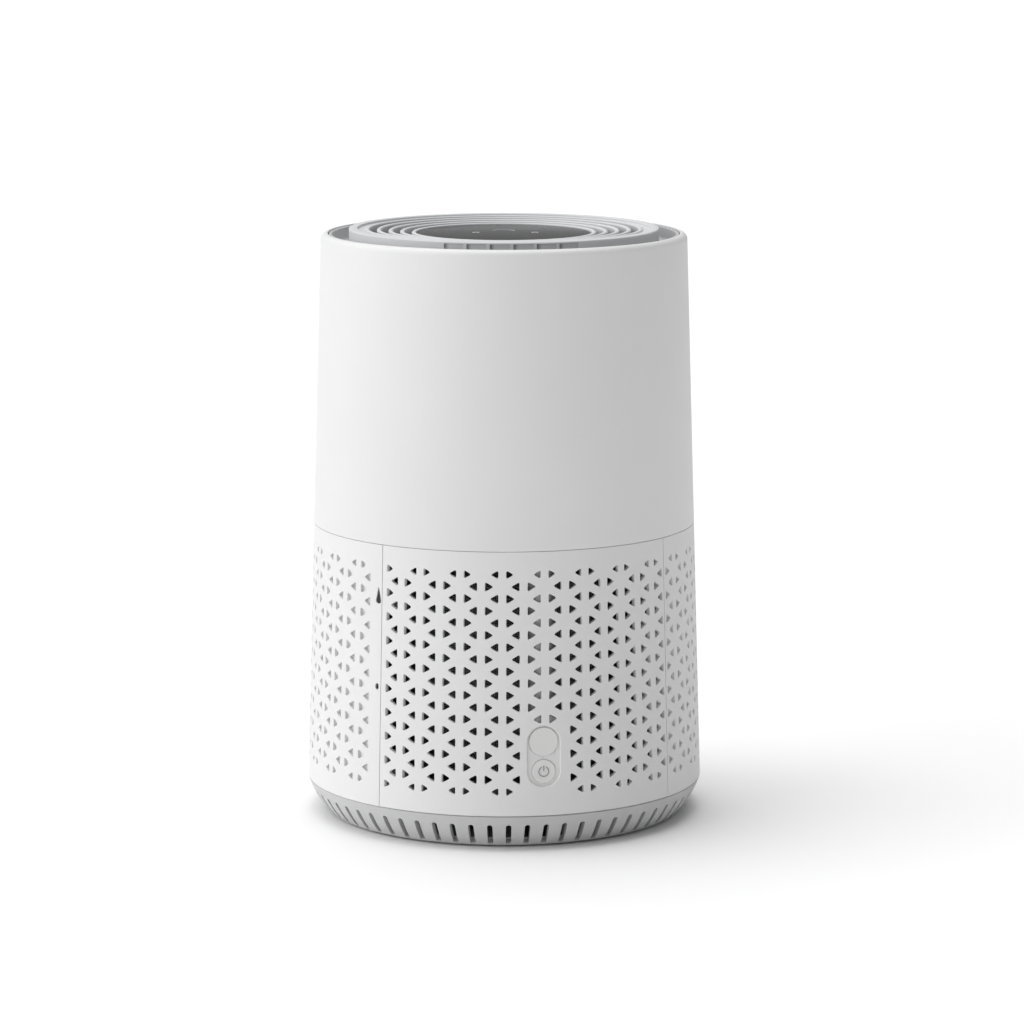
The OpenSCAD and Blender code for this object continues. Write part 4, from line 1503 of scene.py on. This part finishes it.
@dataclass
class ButtonPod:
    """The recessed pod with its two keys.

    Attributes:
        wall: the body's cone.
        azimuth: where the pod is.
        z: height of its middle.
        radius: radius of its ends.
        height: its height.
        floor: depth of the recess.
        pad_r: radius of the upper key.
        key_r: radius of the power key.
        gap: gap round a key.
        sleeve: depth to which the keys are guided.
        switch: depth of the switches.
        lip: thickness of the lip that stops a key.
        running: play of a key.
        front: depth of the fine front's back.
        proud: how far the keys stand over the recess's floor.
        dish: depth of the dish in a key.
    """

    wall: Taper
    azimuth: float = 11.4
    z: float = 52.0
    radius: float = 8.8
    height: float = 33.3
    floor: float = 1.5
    pad_r: float = 7.9
    key_r: float = 6.4
    gap: float = 0.15
    sleeve: float = 7.5
    switch: float = 9.9
    lip: float = 1.2
    running: float = 0.05
    front: float = 2.6
    proud: float = 0.6
    dish: float = 0.14

    @property
    def place(self) -> Matrix:
        """The pod's frame."""
        return self.wall.on_wall(self.azimuth, self.z)

    @property
    def pad_dz(self) -> float:
        """Height of the upper key over the pod's middle."""
        return self.height / 2 - self.radius

    @property
    def key_dz(self) -> float:
        """Height of the power key over the pod's middle."""
        return -self.height / 2 + self.radius - 0.5

    def build(self, node: bpy.types.Object) -> None:
        """Models the pod and its keys.

        Args:
            node: the pod's node.
        """
        self.build_pod(node)
        self.build_key("upper_key_moulding", self.pad_r, 1.2, self.pad_dz, Body.UPPER_KEY, "upper_button")
        self.build_key("power_key_moulding", self.key_r, 1.0, self.key_dz, Body.POWER_KEY, "power_button")

    def build_pod(self, node: bpy.types.Object) -> None:
        """Models the pod: a fine front, and the frame's own guides behind it.

        Args:
            node: the pod's node.
        """
        bm = bmesh.new()
        front = CapsuleOpening(1, 0, radius=self.radius - 0.02, height=self.height - 0.04, segments=96)
        face = front.outline(bm, 0.0)
        bmesh.ops.translate(bm, verts=bm.verts[:], vec=(0, self.floor * MM, 0))
        push(bm, face, self.front - self.floor)
        tidy_mesh(bm)
        bmesh.ops.transform(bm, matrix=self.place, verts=bm.verts[:])
        pod = new_piece("button_pod_moulding", bm, WHITE_ABS)
        keep = bmesh.new()
        bmesh.ops.create_cube(keep, size=1.0)
        bmesh.ops.scale(keep, vec=(0.06, 0.03, 0.09), verts=keep.verts[:])
        bmesh.ops.translate(keep, vec=(0, 0.015 + (self.front - 0.4) * MM, 0), verts=keep.verts[:])
        bmesh.ops.transform(keep, matrix=self.place, verts=keep.verts[:])
        combine(pod, core_copy(node, keep), "UNION")
        holes = [
            CapsuleOpening(6.5, 0.06, 2, r + self.gap, 2 * (r + self.gap), centre_z=dz, segments=96)
            for r, dz in ((self.pad_r, self.pad_dz), (self.key_r, self.key_dz))
        ]
        flat = 1.0e6
        floor = self.place @ Matrix.Translation((0, self.floor * MM, 0))
        cut_openings(pod, [(hole, floor) for hole in holes], lambda place: flat)
        dress(pod, WHITE_ABS, 35.0)
        mount(pod, Body.DOOR, "white_abs", "button_pod")

    def build_key(self, name: str, radius: float, travel: float, dz: float, body: Body, node: str) -> None:
        """Models a key with a softened edge and a faint dish, with its guide, lip and stem.

        Args:
            name: the piece's name.
            radius: the key's radius.
            travel: how far it goes in.
            dz: its height over the pod's middle.
            body: the body it is.
            node: the node it stands for.
        """
        face = -(self.floor - self.proud)
        stem = -(self.switch - self.running - travel + 1.2)
        back = -(self.sleeve + self.running)
        dish = [(radius * k / 8, face - self.dish * (1 - (k / 8) ** 2)) for k in range(8)]
        outline = dish + arc((radius - 0.25, face - 0.25), 0.25, 90, 0, 4) + [
            (radius, back),
            (radius + 0.8, back),
            (radius + 0.8, back - self.lip),
            (1.6, back - self.lip),
            (1.6, stem),
            (0.0, stem),
        ]
        bm = turned_mesh(outline, 128)
        turn = self.place @ Matrix.Translation((0, 0, dz * MM)) @ Matrix.Rotation(math.pi / 2, 4, "X")
        bmesh.ops.transform(bm, matrix=turn, verts=bm.verts[:])
        mount(new_piece(name, bm, KEY_ABS), body, "white_abs", node)


@dataclass
class UpperShell:
    """The plain white upper body with its rounded lip.

    Attributes:
        wall: the body's cone.
        low: lower edge.
        high: top of the lip.
        lip: radius of the lip.
        thick: wall thickness.
        skin: thickness of the outer layer that is modelled again.
        foot: rounding of the lower edge.
        fold: rounding of the lip's inner edge.
    """

    wall: Taper
    low: float = 162.97
    high: float = 323.0
    lip: float = 3.6
    thick: float = 2.5
    skin: float = 2.0
    foot: float = 0.2
    fold: float = 0.35

    def build(self, node: bpy.types.Object) -> None:
        """Models the shell round the bosses of its node.

        Args:
            node: the shell's node.
        """
        top_r = self.wall.radius(self.high - self.lip)
        mouth_r = self.wall.radius(self.high) - self.lip - 0.3
        lean = math.degrees(math.atan(self.wall.slope))
        outline = [
            (self.wall.radius(self.low) - self.skin, self.low),
            *arc((self.wall.radius(self.low) - self.foot, self.low + self.foot), self.foot, -90, 0, 3),
            *arc((top_r - self.lip, self.high - self.lip), self.lip, lean, 90, 16),
            *arc((mouth_r + self.fold, self.high - self.fold), self.fold, 90, 180, 4),
            (mouth_r, self.high - 2.4),
            (self.wall.radius(self.high) - self.thick - 1, self.high - 2.4),
            (self.wall.radius(self.high - 8) - self.skin, self.high - 8),
        ]
        shell = new_piece("upper_shell_moulding", turned_mesh(outline, 360), WHITE_ABS)
        combine(shell, core_copy(node, self.wall.core(100.0, self.high - 9, self.skin)), "UNION")
        dress(shell, WHITE_ABS, 30.0)
        mount(shell, Body.CASE, "white_abs", "upper_shell")


@dataclass
class Outlet:
    """The air outlet at the top: collar, rings, light windows and touch panel.

    Attributes:
        shell: the upper shell it sits in.
        grille_r: outer radius of the grille.
        rise: how far the grille stands over the shell.
        duct_wall: the fan duct's wall.
        trough_w: width of the trough round the grille.
        land_w: width of the grille's flat rim.
        groove_w: width of the groove inside the rim.
        ring_r0: outer radius of the innermost ring.
        ring_step: distance between rings.
        ring_w: width of a ring.
        ring_count: how many rings.
        ribs: how many ribs carry them.
        panel_r: radius of the touch panel.
        window_az: azimuth of the windows' middle.
        window_w: angle of a window.
        window_step: angle between windows.
        window_h: height of a window.
        window_top: distance from the grille's top to a window.
        window_count: how many windows.
        window_back: how far a window sits behind the rim's face.
        window_thick: thickness of a window.
        fall: how much lower each ring is than the one outside it.
        ring_h: height of a ring.
        panel_drop: depth of the touch panel under the grille's top.
    """

    shell: UpperShell
    grille_r: float = 85.3
    rise: float = 2.6
    duct_wall: float = 2.0
    trough_w: float = 8.7
    land_w: float = 4.8
    groove_w: float = 4.0
    ring_r0: float = 50.8
    ring_step: float = 6.4
    ring_w: float = 2.5
    ring_count: int = 5
    ribs: int = 12
    panel_r: float = 47.4
    window_az: float = 2.85
    window_w: float = 7.1
    window_step: float = 8.42
    window_h: float = 5.6
    window_top: float = 1.05
    window_count: int = 6
    window_back: float = 0.45
    window_thick: float = 1.15
    fall: float = 0.45
    ring_h: float = 5.5
    panel_drop: float = 2.9

    @property
    def top(self) -> float:
        """Height of the grille's top."""
        return self.shell.high + self.rise

    @property
    def trough_z(self) -> float:
        """Height of the trough's floor."""
        return self.shell.high - 7

    def build(self) -> None:
        """Models every piece of the outlet."""
        self.build_collar()
        self.build_grille()
        self.build_windows()
        self.build_panel()

    def build_collar(self) -> None:
        """Models the collar: the light inner lip, the trough and the seat of the duct."""
        wall = self.shell.wall
        collar_r = wall.radius(self.shell.high) - self.shell.lip - 0.75
        trough_r = self.grille_r + 0.4 + self.trough_w
        duct_r = self.grille_r - 0.3
        top = self.shell.high - 0.5
        outline = rounded(
            [
                (trough_r, top),
                (collar_r, top),
                (collar_r, top - 5),
                (trough_r + 1.4, top - 5.4),
                (trough_r + 1.4, self.trough_z - 2),
                (duct_r + 2.4, self.trough_z - 2),
                (duct_r + 2.4, self.shell.high - 18),
                (duct_r + 0.3, self.shell.high - 18),
                (duct_r + 0.3, self.trough_z - 2.4),
                (duct_r - self.duct_wall, self.trough_z - 2.4),
                (duct_r - self.duct_wall, self.trough_z),
                (trough_r, self.trough_z),
            ],
            {0: 0.6, 1: 0.4, 11: 1.6, 2: 0.3},
            5,
        )
        # The collar wears the trough's deeper grey, which is painted shade.
        collar = new_piece("outlet_collar_moulding", turned_mesh(outline, 360), TROUGH_PAINTED_SHADE_ABS)
        mount(collar, Body.CASE, "ring_grey_abs", "outlet_collar")

    def build_grille(self) -> None:
        """Models the grille: rim, groove, rings with rounded tops and ribs."""
        groove_r = self.grille_r - self.land_w
        outline = rounded(
            [
                (self.grille_r - 2, self.trough_z),
                (self.grille_r, self.trough_z),
                (self.grille_r, self.top),
                (groove_r, self.top),
                (groove_r, self.top - 1.4),
                (groove_r - self.groove_w - 0.5, self.top - 1.4),
                (groove_r - self.groove_w - 0.5, self.top - 3.4),
                (self.grille_r - 2, self.top - 3.4),
            ],
            {2: 0.7, 3: 0.5, 4: 0.4, 5: 0.4, 6: 0.3},
            5,
        )
        grille = new_piece("outlet_grille_moulding", turned_mesh(outline, 360), RING_ABS)
        cutters = bmesh.new()
        for azimuth in self.window_azimuths():
            bmesh.ops.create_cube(
                cutters, size=1.0, matrix=self.window_place(azimuth) @ self.window_size(0.05, 8.0)
            )
        tidy_mesh(cutters)
        combine(grille, plain_object("windows", cutters), "DIFFERENCE")
        bm = bmesh.new()
        bm.from_mesh(grille.data)
        for i in range(self.ring_count):
            outer = self.ring_r0 + i * self.ring_step
            fall = (self.ring_count - i) * self.fall
            high, low = self.top - fall, self.top - fall - self.ring_h
            bar = rounded(
                [(outer - self.ring_w, low), (outer, low), (outer, high), (outer - self.ring_w, high)],
                {0: 0.5, 1: 0.5, 2: 0.9, 3: 0.9},
                5,
            )
            join(bm, turned_mesh(bar, 300))
        for i in range(self.ribs):
            join(bm, self.rib_mesh(i * 360 / self.ribs))
        bm.to_mesh(grille.data)
        bm.free()
        dress(grille, RING_ABS, 30.0)
        mount(grille, Body.CASE, "ring_grey_abs", "outlet_grille")

    def rib_mesh(self, azimuth: float) -> bmesh.types.BMesh:
        """Models one rib under the rings.

        Args:
            azimuth: where it is, in degrees.

        Returns:
            The rib's mesh.
        """
        bm = bmesh.new()
        length = self.grille_r - self.ring_r0
        middle = self.ring_r0 - 1.5 + length / 2
        place = (
            Matrix.Rotation(math.radians(azimuth), 4, "Z")
            @ Matrix.Translation((middle * MM, 0, (self.top - 9 + 2.3) * MM))
            @ Matrix.Diagonal((length * MM, 1.6 * MM, 4.6 * MM, 1.0))
        )
        bmesh.ops.create_cube(bm, size=1.0, matrix=place)
        soften(bm, bm.edges[:], 0.3, 2)
        return bm

    def window_azimuths(self) -> list[float]:
        """Azimuths of the windows."""
        middle = (self.window_count - 1) / 2
        return [self.window_az + (i - middle) * self.window_step for i in range(self.window_count)]

    def window_place(self, azimuth: float) -> Matrix:
        """Gives the frame of a window on the grille's outer face.

        Args:
            azimuth: the window's azimuth in degrees.

        Returns:
            The frame, in metres.
        """
        z = self.top - self.window_top - self.window_h / 2
        turn = Matrix.Rotation(math.radians(azimuth), 4, "Z")
        return turn @ Matrix.Translation((0, -self.grille_r * MM, z * MM))

    def window_size(self, grow: float, depth: float) -> Matrix:
        """Scale of a window, larger all round by a distance."""
        width = 2 * self.grille_r * math.sin(math.radians(self.window_w / 2))
        return Matrix.Diagonal(((width + 2 * grow) * MM, depth * MM, (self.window_h + 2 * grow) * MM, 1.0))

    def build_windows(self) -> None:
        """Models the frosted light windows, curved with the rim and rounded at their edges."""
        low = self.top - self.window_top - self.window_h
        bm = bmesh.new()
        high, face = low + self.window_h, self.grille_r - self.window_back
        back = face - self.window_thick
        outline = rounded([(back, low), (face, low), (face, high), (back, high)], {1: 0.3, 2: 0.3}, 3)
        for azimuth in self.window_azimuths():
            half = self.window_w / 2 - 0.02
            join(bm, swept_mesh(outline, azimuth - half, azimuth + half, 0.8))
        mount(new_piece("light_windows", bm, FROSTED_PC), Body.CASE, "window_plastic", "indicator_windows")

    def build_panel(self) -> None:
        """Models the touch panel with its rounded edge."""
        top = self.top - self.panel_drop
        edge = arc((self.panel_r - 0.5, top - 0.5), 0.5, 0, 90, 5)
        outline = [(0.0, top - 1), (self.panel_r, top - 1), *edge, (0.0, top)]
        panel = new_piece("touch_panel_moulding", turned_mesh(outline, 240), DARK_ACRYLIC)
        mount(panel, Body.CASE, "dark_panel", "touch_panel")


# ---- Studio -----------------------------------------------------------------------------------------------


@dataclass
class Sun:
    """A broad distant light.

    Attributes:
        name: the light's name.
        azimuth: where it shines from, from the front (-Y) towards +X, in degrees.
        height: its elevation in degrees.
        strength: irradiance.
        spread: its apparent size in degrees.
    """

    name: str
    azimuth: float
    height: float
    strength: float
    spread: float

    def build(self) -> None:
        """Adds the light."""
        data = bpy.data.lights.new(self.name, "SUN")
        data.energy = self.strength
        data.angle = math.radians(self.spread)
        lamp = bpy.data.objects.new(self.name, data)
        a, h = math.radians(self.azimuth), math.radians(self.height)
        towards = Vector((math.sin(a) * math.cos(h), -math.cos(a) * math.cos(h), math.sin(h)))
        lamp.rotation_euler = towards.to_track_quat("Z", "Y").to_euler()
        lamp.location = towards
        bpy.context.scene.collection.objects.link(lamp)


@dataclass
class Studio:
    """Plain pale floor, even surround, broad lights and the camera.

    Attributes:
        suns: the lights.
        surround: brightness of the surround as it lights the object.
        backdrop: brightness of the surround as it is seen.
        floor_size: size of the floor in metres.
        eye: place of the camera in metres.
        pitch: how far it looks down, in degrees.
        lens: its focal length in millimetres.
        film: width of its film in millimetres.
        far: how far it sees, in metres.
    """

    suns: Sequence[Sun] = (
        Sun("key_light", -74.0, 12.0, 2.35, 80.0),
        Sun("top_light", -150.0, 78.0, 2.15, 60.0),
    )
    surround: float = 0.29
    backdrop: float = 1.0
    floor_size: float = 40.0
    eye: tuple[float, float, float] = (0.0044, -2.2023, 0.5380)
    pitch: float = 9.57
    lens: float = 141.05
    film: float = 36.0
    far: float = 100.0

    def build(self) -> None:
        """Builds the studio."""
        scene = bpy.context.scene
        scene.view_settings.view_transform = "Standard"
        for sun in self.suns:
            sun.build()
        self.build_world()
        self.build_floor()
        data = bpy.data.cameras.new("camera")
        data.lens = self.lens
        data.sensor_width = self.film
        data.clip_end = self.far
        camera = bpy.data.objects.new("camera", data)
        camera.location = self.eye
        camera.rotation_euler = (math.radians(90 - self.pitch), 0.0, 0.0)
        scene.collection.objects.link(camera)
        scene.camera = camera

    def build_world(self) -> None:
        """Makes a surround that is seen brighter than it lights."""
        world = bpy.data.worlds.new("surround")
        world.use_nodes = True
        tree = world.node_tree
        tree.nodes.clear()
        seen = add_node(tree, "ShaderNodeLightPath").outputs["Is Camera Ray"]
        strength = add_node(
            tree, "ShaderNodeMapRange", links={"Value": seen, "To Min": self.surround, "To Max": self.backdrop}
        )
        light = add_node(tree, "ShaderNodeBackground", links={"Strength": strength.outputs["Result"]})
        light.inputs["Color"].default_value = (1.0, 1.0, 1.0, 1.0)
        add_node(tree, "ShaderNodeOutputWorld", links={"Surface": light.outputs["Background"]})
        bpy.context.scene.world = world

    def build_floor(self) -> None:
        """Makes the floor."""
        bm = bmesh.new()
        bmesh.ops.create_grid(bm, x_segments=8, y_segments=8, size=self.floor_size / 2)
        new_piece("floor", bm, STUDIO_FLOOR)


def dress_nodes(nodes: dict[str, bpy.types.Object]) -> None:
    """Gives every node that still shows its finish.

    Args:
        nodes: name of a node to its object.
    """
    for finish, names in NODE_FINISHES.items():
        for name in names:
            slots = nodes[name].material_slots
            if not slots:
                nodes[name].data.materials.append(finish.material())
            for slot in slots:
                slot.material = finish.material()
            LOG.info("%s: %s", name, finish.name)


def main() -> None:
    """Builds the scene."""
    logging.basicConfig(level=logging.INFO, format="%(name)s %(message)s")
    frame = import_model()
    nodes = frame["nodes"]
    wall = Taper()
    pattern = Pattern(wall)
    Studio().build()
    Base().build()
    Door(wall, pattern).build()
    LowerHousing(wall, pattern).build(nodes["lower_housing"])
    ButtonPod(wall).build(nodes["button_pod"])
    shell = UpperShell(wall)
    shell.build(nodes["upper_shell"])
    Outlet(shell).build()
    dress_nodes(nodes)


if __name__ == "__main__":
    main()
